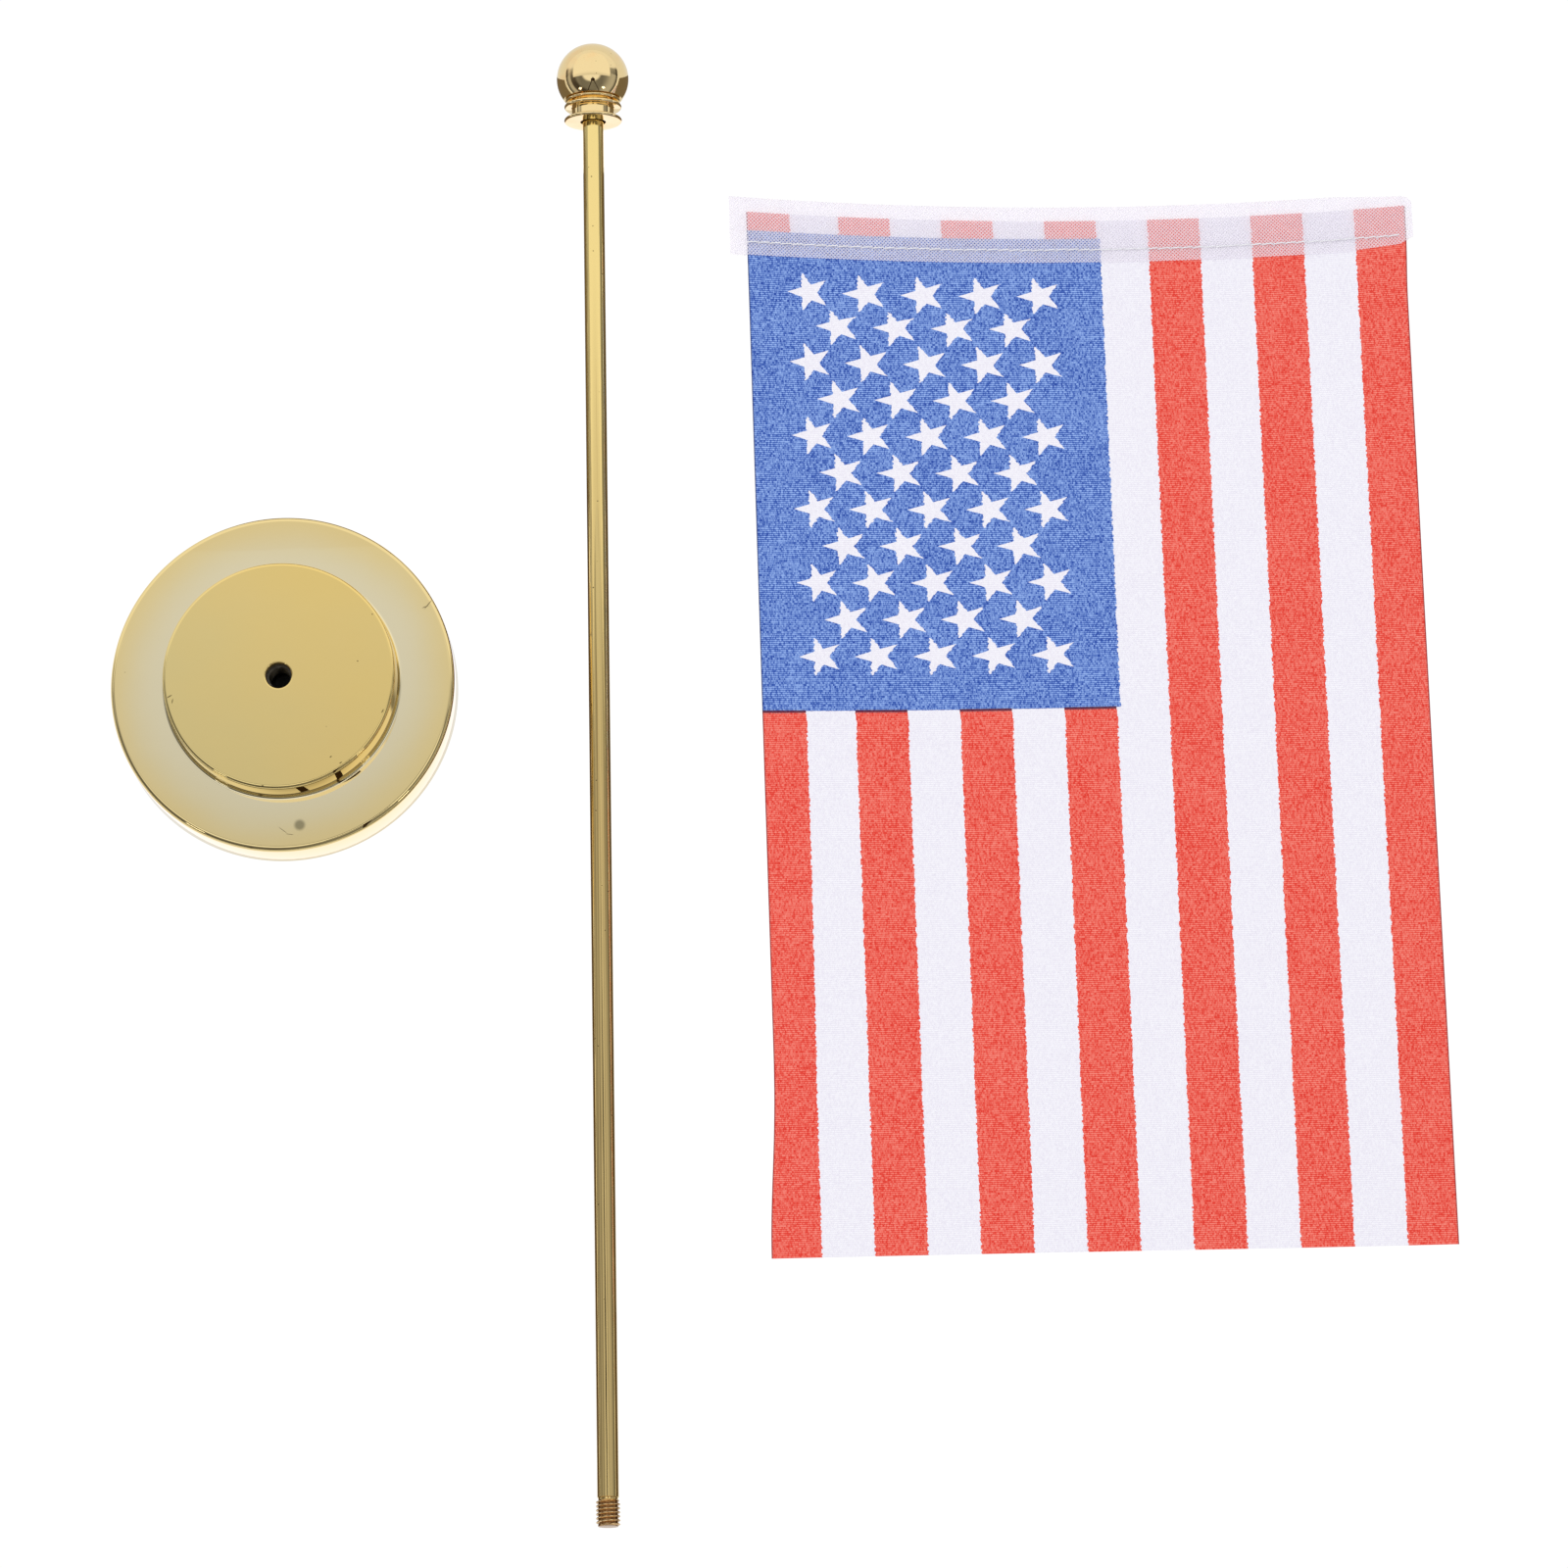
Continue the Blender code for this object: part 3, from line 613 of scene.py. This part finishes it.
def bead(radius, height, thickness):
    """The rounded edge of a ring that reaches out to radius, from its top to its bottom."""
    half = thickness / 2
    return arc((radius - half, height), half, 90, -90, 10)


def spread(start, end, count):
    """Points (r, z) between two ends, with the first left out."""
    return [
        (start[0] + (end[0] - start[0]) * i / count, start[1] + (end[1] - start[1]) * i / count)
        for i in range(1, count + 1)
    ]


def lathe(name, profile, steps, closed):
    """Turns a profile of (r, z) points about Z. Points on the axis become one vertex."""
    shape = bmesh.new()
    rings = []
    for r, z in profile:
        if r < 1e-7:
            rings.append([shape.verts.new((0.0, 0.0, z))] * steps)
            continue
        angles = [math.tau * i / steps for i in range(steps)]
        rings.append([shape.verts.new((r * math.cos(a), r * math.sin(a), z)) for a in angles])
    pairs = list(zip(rings, rings[1:]))
    if closed:
        pairs.append((rings[-1], rings[0]))
    for near, far in pairs:
        for i in range(steps):
            j = (i + 1) % steps
            corners = list(dict.fromkeys((near[i], far[i], far[j], near[j])))
            if len(corners) > 2:
                shape.faces.new(corners)
    bmesh.ops.recalc_face_normals(shape, faces=shape.faces)
    return new_object(name, new_mesh(name, shape))


def smooth(obj):
    obj.data.shade_smooth()
    obj.data.set_sharp_from_angle(angle=SHARP_ANGLE)
    return obj


def dressed(obj, material, body, node):
    """Gives a new piece its material and body, and hides the CAD node that it stands for."""
    obj.data.materials.append(material)
    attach(obj, body)
    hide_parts(node)
    return obj


def make_base_shell():
    """The two-tier cap. Rings of points close beside the round edges keep its flats flat."""
    low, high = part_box("base_shell")
    base_radius = high.x
    upper_radius = UPPER_DIAMETER / 2
    edge = TIER_EDGE_RADIUS
    rim = LOWER_RIM_RADIUS
    beside = 0.08 * MM
    hole = SOCKET_HOLE_DIAMETER / 2
    lip = SOCKET_LIP_RADIUS
    foot = 0.2 * MM
    lower_ceiling = LOWER_TIER_TOP - SHELL_WALL
    upper_ceiling = high.z - SHELL_WALL
    cove = TIER_COVE_RADIUS
    cove_start = upper_radius + TIER_DRAFT + cove
    outer = [
        (hole, upper_ceiling),
        *arc((hole + lip, high.z - lip), lip, 180, 90, 8),
        (hole + lip + beside, high.z),
        *spread((hole + lip + beside, high.z), (upper_radius - edge - beside, high.z), 12),
        *arc((upper_radius - edge, high.z - edge), edge, 90, 0, 14),
        (upper_radius + 0.01 * MM, high.z - edge - beside),
        *arc((cove_start, LOWER_TIER_TOP + cove), cove, 180, 270, 10),
        (cove_start + beside, LOWER_TIER_TOP),
        *spread((cove_start + beside, LOWER_TIER_TOP), (base_radius - rim - beside, LOWER_TIER_TOP), 8),
        *arc((base_radius - rim, LOWER_TIER_TOP - rim), rim, 90, 0, 16),
        (base_radius, LOWER_TIER_TOP - rim - beside),
        *arc((base_radius - foot, low.z + foot), foot, 0, -90, 4),
    ]
    inner = [
        (base_radius - SHELL_WALL, low.z),
        (base_radius - SHELL_WALL, lower_ceiling),
        (upper_radius - SHELL_WALL, lower_ceiling),
        (upper_radius - SHELL_WALL, upper_ceiling),
    ]
    shell = smooth(lathe("plated_shell", outer + inner, 256, closed=True))
    return dressed(shell, base_plating(), "base", "base_shell")


def pole_frame():
    """The lying pole's own frame: +Z runs from its foot thread to the finial."""
    reach = ROD_LENGTH - ROD_IN_FINIAL + FLANGE_TO_BALL_CENTRE
    slope = math.asin((BALL_DIAMETER - THREAD_DIAMETER) / 2 / reach)
    place = Matrix.Translation((POLE_X, POLE_TIP_Y, THREAD_DIAMETER / 2))
    return place @ Matrix.Rotation(slope - math.pi / 2, 4, "X")


def thread_wave(phase):
    """Height of the thread's flank, from 0 at the root to 1 at the crest, with narrow flats on both."""
    triangle = 1 - 2 * abs(phase % 1.0 - 0.5)
    return min(1.0, max(0.0, 1.6 * (triangle - 0.5) + 0.5))


def cut_thread(mesh, low, high, root):
    """Moves the vertices between two heights onto a right-hand thread about Z, run out at both ends."""
    for vertex in mesh.vertices:
        x, y, z = vertex.co
        radius = math.hypot(x, y)
        if radius < root / 2 or not low <= z <= high:
            continue
        room = min(z - low, high - z) / THREAD_CHAMFER
        wave = thread_wave(z / THREAD_PITCH - math.atan2(y, x) / math.tau)
        scale = (root + THREAD_DEPTH * min(1.0, room) * wave) / radius
        vertex.co.x *= scale
        vertex.co.y *= scale


def make_pole_rod():
    """A round rod with a rolled thread on each end."""
    radius = ROD_DIAMETER / 2
    root = THREAD_DIAMETER / 2 - THREAD_DEPTH
    head_low = ROD_LENGTH - HEAD_THREAD_LENGTH
    rows = 12
    head_rows = round(HEAD_THREAD_LENGTH / THREAD_PITCH * rows)
    foot_rows = round(FOOT_THREAD_LENGTH / THREAD_PITCH * rows)
    shoulder = 0.15 * MM
    profile = [
        (0.0, ROD_LENGTH),
        (root - 0.3 * MM, ROD_LENGTH),
        (root, ROD_LENGTH),
        *spread((root, ROD_LENGTH), (root, head_low), head_rows),
        (radius - shoulder, head_low - THREAD_CHAMFER + shoulder),
        (radius, head_low - THREAD_CHAMFER),
        *spread((radius, head_low - THREAD_CHAMFER), (radius, FOOT_THREAD_LENGTH + THREAD_CHAMFER), 60),
        (radius - shoulder, FOOT_THREAD_LENGTH + THREAD_CHAMFER - shoulder),
        (root, FOOT_THREAD_LENGTH),
        *spread((root, FOOT_THREAD_LENGTH), (root, 0.0), foot_rows),
        (root - 0.3 * MM, 0.0),
        (0.0, 0.0),
    ]
    rod = lathe("drawn_rod", profile, 64, closed=False)
    cut_thread(rod.data, 0.0, FOOT_THREAD_LENGTH, root)
    cut_thread(rod.data, head_low, ROD_LENGTH, root)
    rod.matrix_world = pole_frame()
    return dressed(smooth(rod), rod_brass(), "pole", "pole_rod")


def make_finial():
    """A ball on a neck with two rings and a flange, and the bore and pocket inside it."""
    face = ROD_LENGTH - ROD_IN_FINIAL
    centre = face + FLANGE_TO_BALL_CENTRE
    neck = NECK_DIAMETER / 2
    mouth = FINIAL_MOUTH_DIAMETER / 2
    pocket = INSERT_POCKET_DIAMETER / 2
    upper_ring = face + UPPER_RING_OFFSET
    middle_ring = face + MIDDLE_RING_OFFSET
    ball_foot = upper_ring + RING_THICKNESS / 2
    down_angle = math.degrees(math.asin((centre - ball_foot) / (BALL_DIAMETER / 2)))
    flange_round = FLANGE_THICKNESS / 2
    bore_end = face + ROD_IN_FINIAL + 0.6 * MM
    profile = [
        *arc((0.0, centre), BALL_DIAMETER / 2, 90, -down_angle, 60),
        *bead(UPPER_RING_DIAMETER / 2, upper_ring, RING_THICKNESS),
        (neck, upper_ring - RING_THICKNESS / 2 - 0.05 * MM),
        (neck, middle_ring + RING_THICKNESS / 2),
        *bead(MIDDLE_RING_DIAMETER / 2, middle_ring, RING_THICKNESS),
        (neck + 0.1 * MM, middle_ring - RING_THICKNESS / 2),
        (neck, middle_ring - RING_THICKNESS / 2 - 0.1 * MM),
        (neck, face + FLANGE_THICKNESS + 0.3 * MM),
        *arc((neck + 0.3 * MM, face + FLANGE_THICKNESS + 0.3 * MM), 0.3 * MM, 180, 270, 5),
        *arc((FLANGE_DIAMETER / 2 - flange_round, face + flange_round), flange_round, 90, -90, 12),
        *arc((mouth + 0.15 * MM, face + 0.15 * MM), 0.15 * MM, -90, -180, 4),
        (mouth, face + INSERT_POCKET_LOW),
        (pocket, face + INSERT_POCKET_LOW),
        (pocket, face + INSERT_POCKET_HIGH),
        (mouth, face + INSERT_POCKET_HIGH),
        (mouth, bore_end),
        (0.0, bore_end),
    ]
    finial = lathe("finial_moulding", profile, 128, closed=False)
    finial.matrix_world = pole_frame()
    return dressed(smooth(finial), finial_plating(), "finial", "finial_ball")


# ---- The flag ------------------------------------------------------------
def on_flag(across, along, height):
    """Where a point lies, given across from the middle, along from the fly edge, and height."""
    share = along / SLEEVE_FOLD
    bow = HOIST_BOW * (2 * across / TAPE_LENGTH) ** 2
    x = FLY_EDGE_CENTRE[0] + FLAG_LEAN * along + across
    y = FLY_EDGE_CENTRE[1] + along + share**2 * (bow - HOIST_SLOPE * across)
    return (x, y, height)


def ease(value):
    """A smooth step from 0 to 1."""
    value = min(1.0, max(0.0, value))
    return value * value * (3 - 2 * value)


def sheet_mesh(name, rows, thickness):
    """A sheet of this thickness through rows of (across, along, height) points, which it remembers."""
    shape = bmesh.new()
    grid = [[shape.verts.new(on_flag(*point)) for point in row] for row in rows]
    for near, far in zip(grid, grid[1:]):
        for i in range(len(near) - 1):
            shape.faces.new((near[i], near[i + 1], far[i + 1], far[i]))
    mesh = new_mesh(name, shape)
    places = mesh.attributes.new("flag_place", "FLOAT_VECTOR", "POINT")
    values = []
    for row in rows:
        for across, along, _ in row:
            inward = min(across - row[0][0], row[-1][0] - across)
            values += [across / MM, along / MM, inward / MM]
    places.data.foreach_set("vector", values)
    obj = new_object(name, mesh)
    solidify = obj.modifiers.new("thickness", "SOLIDIFY")
    solidify.thickness = thickness
    solidify.offset = 0.0
    bpy.context.view_layer.update()
    depsgraph = bpy.context.evaluated_depsgraph_get()
    obj.data = bpy.data.meshes.new_from_object(obj.evaluated_get(depsgraph))
    obj.modifiers.clear()
    obj.data.name = name
    return smooth(obj)


def fabric_left(along):
    """The cloth's left edge, which flares out towards the fly end."""
    flare = 1.7 * MM * ease(1 - along / (45 * MM)) ** 1.5
    return -66.6 * MM - flare


def fabric_right(along):
    """The cloth's right edge, a little wider at the sleeve."""
    return 68.4 * MM + 0.3 * MM * ease((along - 196 * MM) / (12 * MM))


def fabric_height(across, along):
    """Height of the cloth's middle layer: on the table, with slack ripples, and raised inside the sleeve."""
    flat = FABRIC_THICKNESS / 2
    climb = ease((along - (SLEEVE_EDGE - FABRIC_RAMP)) / FABRIC_RAMP)
    free = (1 - climb) * ease(along / (6 * MM))
    ripple = noise.noise(Vector((across * 28, along * 17, SEED)))
    pucker = noise.noise(Vector((across * 160, along * 25, SEED + 3)))
    near_seam = ease((along - SLEEVE_EDGE + 30 * MM) / (30 * MM))
    slack = 0.22 * MM * max(0.0, ripple) + 0.14 * MM * near_seam * max(0.0, pucker)
    return flat + (FABRIC_IN_SLEEVE - flat) * climb + slack * free


def fly_droop(across, along):
    """The fly edge was cut a little askew: its right end lies half a millimetre further out."""
    return 0.5 * MM * ease(across / FABRIC_WIDTH + 0.5) * ease(1 - along / (20 * MM))


def make_flag_cloth():
    columns = 136
    row_count = 216
    rows = []
    for j in range(row_count + 1):
        along = FABRIC_LENGTH * j / row_count
        left = fabric_left(along)
        width = fabric_right(along) - left
        acrosses = [left + width * i / columns for i in range(columns + 1)]
        rows.append([(a, along - fly_droop(a, along), fabric_height(a, along)) for a in acrosses])
    cloth = sheet_mesh("printed_flag", rows, FABRIC_THICKNESS - 0.02 * MM)
    return dressed(cloth, printed_cloth(), "flag", "flag_panel")


def tape_crown(across, share):
    """How far the upper leaf stands up: a crown by the fold, slight puckers, and a lifted corner."""
    crown = 0.35 * MM * math.sin(math.pi * share) * ease((share - 0.25) / 0.4)
    pucker = 0.06 * MM * max(0.0, noise.noise(Vector((across * 300, share * 2, SEED + 9))))
    corner = 0.5 * MM * ease((-across - 66.0 * MM) / (4.0 * MM)) * ease(1 - share * 3)
    return crown + pucker + corner


def make_tape():
    """The folded tape: the lower leaf, the round of the fold, and the upper leaf back to its free edge."""
    lower = LOWER_LEAF_BOTTOM + TAPE_THICKNESS / 2
    upper = UPPER_LEAF_TOP - TAPE_THICKNESS / 2
    bend = (upper - lower) / 2
    columns = 140
    leaf_steps = 14
    fold_steps = 8
    rows = []
    for j in range(2 * leaf_steps + fold_steps + 1):
        row = []
        for i in range(columns + 1):
            across = TAPE_LENGTH * (i / columns - 0.5)
            end = ease((across - 52 * MM) / (18 * MM))
            fold = SLEEVE_FOLD - 0.9 * MM * end - 1.2 * MM * ease((across - 68.6 * MM) / (1.6 * MM))
            edge = SLEEVE_EDGE + 0.9 * MM * end + 1.6 * MM * ease((across - 66.0 * MM) / (4.4 * MM)) ** 2
            if j <= leaf_steps:
                along = edge + (fold - bend - edge) * j / leaf_steps
                height = lower
            elif j >= leaf_steps + fold_steps:
                share = (2 * leaf_steps + fold_steps - j) / leaf_steps
                along = edge + (fold - bend - edge) * share
                height = upper + tape_crown(across, share)
            else:
                angle = math.pi * ((j - leaf_steps) / fold_steps - 0.5)
                along = fold - bend + bend * math.cos(angle)
                height = (lower + upper) / 2 + bend * math.sin(angle)
            row.append((across, along, height))
        rows.append(row)
    tape = sheet_mesh("sheer_sleeve", rows, TAPE_THICKNESS - 0.06 * MM)
    return dressed(tape, sheer_tape(), "flag", "pole_sleeve")


def thread_curve(name, points, diameter):
    curve = bpy.data.curves.new(name, "CURVE")
    curve.dimensions = "3D"
    curve.bevel_depth = diameter / 2
    curve.bevel_resolution = 2
    curve.use_fill_caps = True
    spline = curve.splines.new("POLY")
    spline.points.add(len(points) - 1)
    for target, point in zip(spline.points, points):
        target.co = (*point, 1.0)
    return new_object(name, curve)


def make_stitches(name, diameter, flat_height, node):
    """One thread of the lockstitch seam: it lies along each stitch and turns into the cloth between two."""
    first = -66.6 * MM
    last = 68.3 * MM
    stitch = 2.35 * MM
    slant = 0.09 * MM
    depth = flat_height - FABRIC_IN_SLEEVE
    rises = ((0.0, 0.0), (0.07, 0.6), (0.16, 0.95), (0.5, 1.0), (0.84, 0.95), (0.93, 0.6))
    points = []
    for k in range(round((last - first) / stitch)):
        wander = 0.12 * MM * noise.noise(Vector((k * 0.31, SEED, 0.0)))
        for share, rise in rises:
            across = first + stitch * (k + share)
            along = STITCH_LINE + wander + slant * (2 * share - 1)
            points.append(on_flag(across, along, FABRIC_IN_SLEEVE + depth * rise))
    thread = thread_curve(name, points, diameter)
    return dressed(thread, sewing_thread(), "flag", node)


# ---- CAD pieces that stay ------------------------------------------------
def repaint(frame):
    """Gives the CAD pieces that stay as they are their detailed materials."""
    looks = {
        "socket_nut": black_oxide(),
        "socket_core": moulded_black("core_plastic", 3.0),
        "ballast_ring": cast_iron(),
        "base_cover": moulded_black("cover_plastic", 5.0),
        "foot_pad": foam(),
        "finial_insert": insert_brass(),
    }
    for node, material in looks.items():
        mesh = frame["nodes"][node].data
        mesh.materials.clear()
        mesh.materials.append(material)


# ---- Table, light and camera ---------------------------------------------
def only_mirrored(card):
    """Hides a card from everything but reflections."""
    card.visible_camera = False
    card.visible_diffuse = False
    card.visible_shadow = False
    card.visible_transmission = False


def make_card(name, corners, material):
    """A flat card that only reflections see."""
    card = flat_piece(name, corners)
    card.data.materials.append(material)
    only_mirrored(card)


def glow_only(shader, tint):
    """Leaves a shader nothing but the light that it gives off."""
    shader["Base Color"].default_value = grey(0.0)
    shader["Specular IOR Level"].default_value = 0.0
    shader["Emission Color"].default_value = tint


def glowing(name, strength, tint=WARM_WHITE):
    """A material that gives off light evenly."""
    material, _, shader = new_material(name)
    glow_only(shader, tint)
    shader["Emission Strength"].default_value = strength
    return material


def soft_ceiling():
    """A bright panel that is dimmer over the first centimetres behind its front edge."""
    material, graph, shader = new_material("soft_ceiling")
    glow_only(shader, WARM_WHITE)
    y = graph.parts(object_place(graph))[1]
    soft_end = CEILING_FRONT + CEILING_SOFT_EDGE
    graph.put(shader["Emission Strength"], graph.between(y, CEILING_FRONT, soft_end, 0.76, 0.97))
    return material


def make_table():
    """A white light table, so that the background stays plain white. Metal mirrors it less brightly."""
    half = TABLE_HALF_WIDTH
    square = ((-half, -half), (half, -half), (half, half), (-half, half))
    table = flat_piece("table", [(x, y, -TABLE_DROP) for x, y in square])
    material, graph, shader = new_material("white_table")
    glow_only(shader, grey(1.0))
    glossy = graph.tree.nodes.new("ShaderNodeLightPath").outputs["Is Glossy Ray"]
    dimming = TABLE_GLOW_IN_METAL - TABLE_GLOW
    graph.put(shader["Emission Strength"], graph.math("MULTIPLY_ADD", glossy, dimming, TABLE_GLOW))
    table.data.materials.append(material)


def make_ceiling():
    """The bright panel over the back of the table."""
    left, right, back, height = -0.42, 0.56, 1.2, CEILING_HEIGHT
    front = CEILING_FRONT
    corners = [(left, front, height), (right, front, height), (right, back, height), (left, back, height)]
    make_card("ceiling_panel", corners, soft_ceiling())


def make_dark_camera():
    """The dark camera and two legs of its tripod."""
    dark = glowing("dark_card", 0.03, (1.0, 0.6, 0.35, 1.0))
    x, y, z = DARK_CAMERA_PLACE
    left = [(0.0, 0.17), (-0.05, 0.08), (-0.12, 0.05)]
    body = [(-0.12, -0.11), (0.12, -0.11), (0.12, 0.05), (0.05, 0.08), *left]
    make_card("camera_body", [(x + dx, y + dy, z) for dx, dy in body], dark)
    for side, name in ((-1, "tripod_left"), (1, "tripod_right")):
        top = (x + side * 0.10, y - 0.10, z)
        foot = (x + side * 0.75, y - 1.3, z - 0.75)
        inner_top = (top[0] - side * 0.05, top[1], top[2])
        inner_foot = (foot[0] - side * 0.06, foot[1], foot[2])
        make_card(name, [top, inner_top, inner_foot, foot], dark)


def make_lamp_cards():
    """Two small bright cards, at the front left and the front right."""
    bright = glowing("lamp_card", 3.2)
    half = 0.075
    for side, name in ((-1, "lamp_left"), (1, "lamp_right")):
        x, y, z = 0.064 + side * 0.60, -0.51, 0.52
        square = ((-half, -half), (half, -half), (half, half), (-half, half))
        make_card(name, [(x + dx, y, z + dz) for dx, dz in square], bright)


def floor_card(name, side, reach, length, material):
    """A card on the table by the pole: reach is from its axis, length along it, in millimetres."""
    near, far = [POLE_X + side * value * MM for value in reach]
    low, high = [value * MM for value in length]
    corners = ((near, low), (far, low), (far, high), (near, high))
    make_card(name, [(x, y, 0.03 * MM) for x, y in corners], material)


def make_floor_cards():
    """Dark cards beside the pole, a white one across it by the finial, and a white ring round the base."""
    strip = glowing("dark_strip", 0.11, (1.0, 0.72, 0.45, 1.0))
    shade = glowing("umber_shade", 0.19, (1.0, 0.80, 0.55, 1.0))
    for side, name in ((-1, "left"), (1, "right")):
        floor_card("strip_" + name, side, (4.4, 27.0), (POLE_TIP_Y / MM - 5, 110.0), strip)
        floor_card("shade_" + name, side, (8.5, 85.0), (45.0, 131.0), shade)
    cool_white = (0.80, 0.77, 0.86, 1.0)
    floor_card("white_patch", 1, (-9.0, 9.0), (111.0, 119.0), glowing("white_patch", 1.5, cool_white))
    ring = lathe("white_ring", [(35.2 * MM, 0.02 * MM), (42.0 * MM, 0.02 * MM)], 96, closed=False)
    ring.data.materials.append(glowing("white_ring", 1.5, cool_white))
    only_mirrored(ring)


def mirrored_sky(graph, x, y, z):
    tilt = graph.add(graph.math("DIVIDE", graph.math("ARCTAN2", x, z), math.tau), 0.5)
    behind = graph.greys(
        tilt,
        (0.23, 0.22), (0.29, 0.62), (0.333, 0.55), (0.385, 0.62), (0.42, 0.34),
        (0.45, 0.78), (0.53, 0.80), (0.585, 0.72), (0.625, 0.46), (0.69, 0.32),
        (0.77, 0.24),
    )
    over = graph.greys(
        tilt,
        (0.25, 0.14), (0.29, 0.46), (0.36, 0.54), (0.40, 0.22), (0.425, 0.42),
        (0.455, 0.66), (0.470, 0.50), (0.481, 0.01), (0.505, 0.01), (0.516, 0.80),
        (0.537, 0.66), (0.552, 0.22), (0.575, 0.54), (0.64, 0.50), (0.69, 0.28),
        (0.75, 0.12),
    )
    sideways = graph.math("ABSOLUTE", graph.add(tilt, -0.5))
    front = graph.greys(sideways, (0.0, 0.20), (0.10, 0.17), (0.17, 0.30), (0.25, 0.10))
    low_front = graph.between(z, 0.25, 0.72, 0.8, 0.0)
    front = graph.mix(low_front, front, grey(0.55))
    from_zenith = graph.math("SQRT", graph.add(graph.times(graph.times(x, x), 0.7), graph.times(y, y)))
    front = graph.mix(graph.between(from_zenith, 0.34, 0.47), grey(0.95), front)
    behind = graph.mix(graph.between(y, 0.215, 0.285, 0.20, 0.0), behind, grey(0.0))
    seen = graph.mix(graph.between(y, 0.09, 0.13), front, over)
    seen = graph.mix(graph.between(y, 0.155, 0.225), seen, behind)
    return graph.mix(graph.between(y, 0.33, 0.45), seen, grey(0.90))


def dark_horizon(graph, x, y, z):
    """How far the studio is darkened: along the horizon, but not at the back, and in a band at the left."""
    horizon = graph.times(graph.between(z, 0.02, 0.20, 1.0, 0.0), graph.between(y, 0.30, 0.50, 1.0, 0.0))
    corner = graph.between(graph.add(x, y), -1.2, -0.2, 1.0, 0.0)
    upper_band = graph.times(graph.between(z, 0.28, 0.36), graph.between(z, 0.55, 0.70, 1.0, 0.0))
    return graph.times(graph.math("MAXIMUM", horizon, graph.times(corner, upper_band)), 0.92)


def make_world():
    """Soft light from all round. Polished metal sees a studio that is dimmer, and dark near the floor."""
    world = bpy.data.worlds.new("studio")
    bpy.context.scene.world = world
    world.use_nodes = True
    graph = Graph(world.node_tree)
    direction = graph.tree.nodes.new("ShaderNodeTexCoord").outputs["Generated"]
    x, y, z = graph.parts(direction)
    seen = graph.mix(dark_horizon(graph, x, y, z), mirrored_sky(graph, x, y, z), (0.03, 0.022, 0.015, 1.0))
    glossy = graph.tree.nodes.new("ShaderNodeLightPath").outputs["Is Glossy Ray"]
    background = graph.tree.nodes["Background"]
    graph.put(background.inputs["Color"], graph.mix(glossy, (0.93, 0.93, 0.95, 1.0), seen))
    background.inputs["Strength"].default_value = 1.0


def make_key_light():
    """Metal doesn't mirror it."""
    light = bpy.data.lights.new("key", "AREA")
    light.shape = "SQUARE"
    light.size = 0.9
    light.energy = 2.2
    lamp = new_object("key", light)
    lamp.location = (-0.7, 0.5, 1.2)
    to_kit = Vector((0.1, 0.0, 0.0)) - lamp.location
    lamp.rotation_euler = to_kit.to_track_quat("-Z", "Y").to_euler()
    lamp.visible_glossy = False


def make_camera():
    back = (CAMERA_PLACE - CAMERA_TARGET).normalized()
    right = CAMERA_UP.cross(back).normalized()
    up = back.cross(right)
    turn = Matrix((right, up, back)).transposed().to_4x4()
    data = bpy.data.cameras.new("camera")
    data.lens = LENS_MM
    data.sensor_width = SENSOR_MM
    data.sensor_height = SENSOR_MM
    data.clip_end = 20.0
    camera = new_object("camera", data)
    camera.matrix_world = Matrix.Translation(CAMERA_PLACE) @ turn
    bpy.context.scene.camera = camera


# ---- The scene -----------------------------------------------------------
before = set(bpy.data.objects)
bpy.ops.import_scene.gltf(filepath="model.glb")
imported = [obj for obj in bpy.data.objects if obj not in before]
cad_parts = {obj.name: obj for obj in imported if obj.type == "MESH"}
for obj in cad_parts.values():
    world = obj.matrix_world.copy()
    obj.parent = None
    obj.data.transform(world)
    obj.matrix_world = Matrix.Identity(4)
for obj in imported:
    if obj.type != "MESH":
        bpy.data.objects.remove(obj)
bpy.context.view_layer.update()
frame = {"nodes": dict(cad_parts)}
bpy.context.scene.view_settings.view_transform = "Standard"

make_camera()
make_table()
make_ceiling()
make_dark_camera()
make_lamp_cards()
make_floor_cards()
make_world()
make_key_light()

make_base_shell()
make_pole_rod()
make_finial()
flag = make_flag_cloth()
sleeve = make_tape()
above = UPPER_LEAF_TOP + NEEDLE_THREAD_DIAMETER / 2
below = STITCH_DIAMETER / 2
needle_run = make_stitches("needle_stitches", NEEDLE_THREAD_DIAMETER, above, "needle_thread")
bobbin_run = make_stitches("bobbin_stitches", STITCH_DIAMETER, below, "bobbin_thread")
repaint(frame)
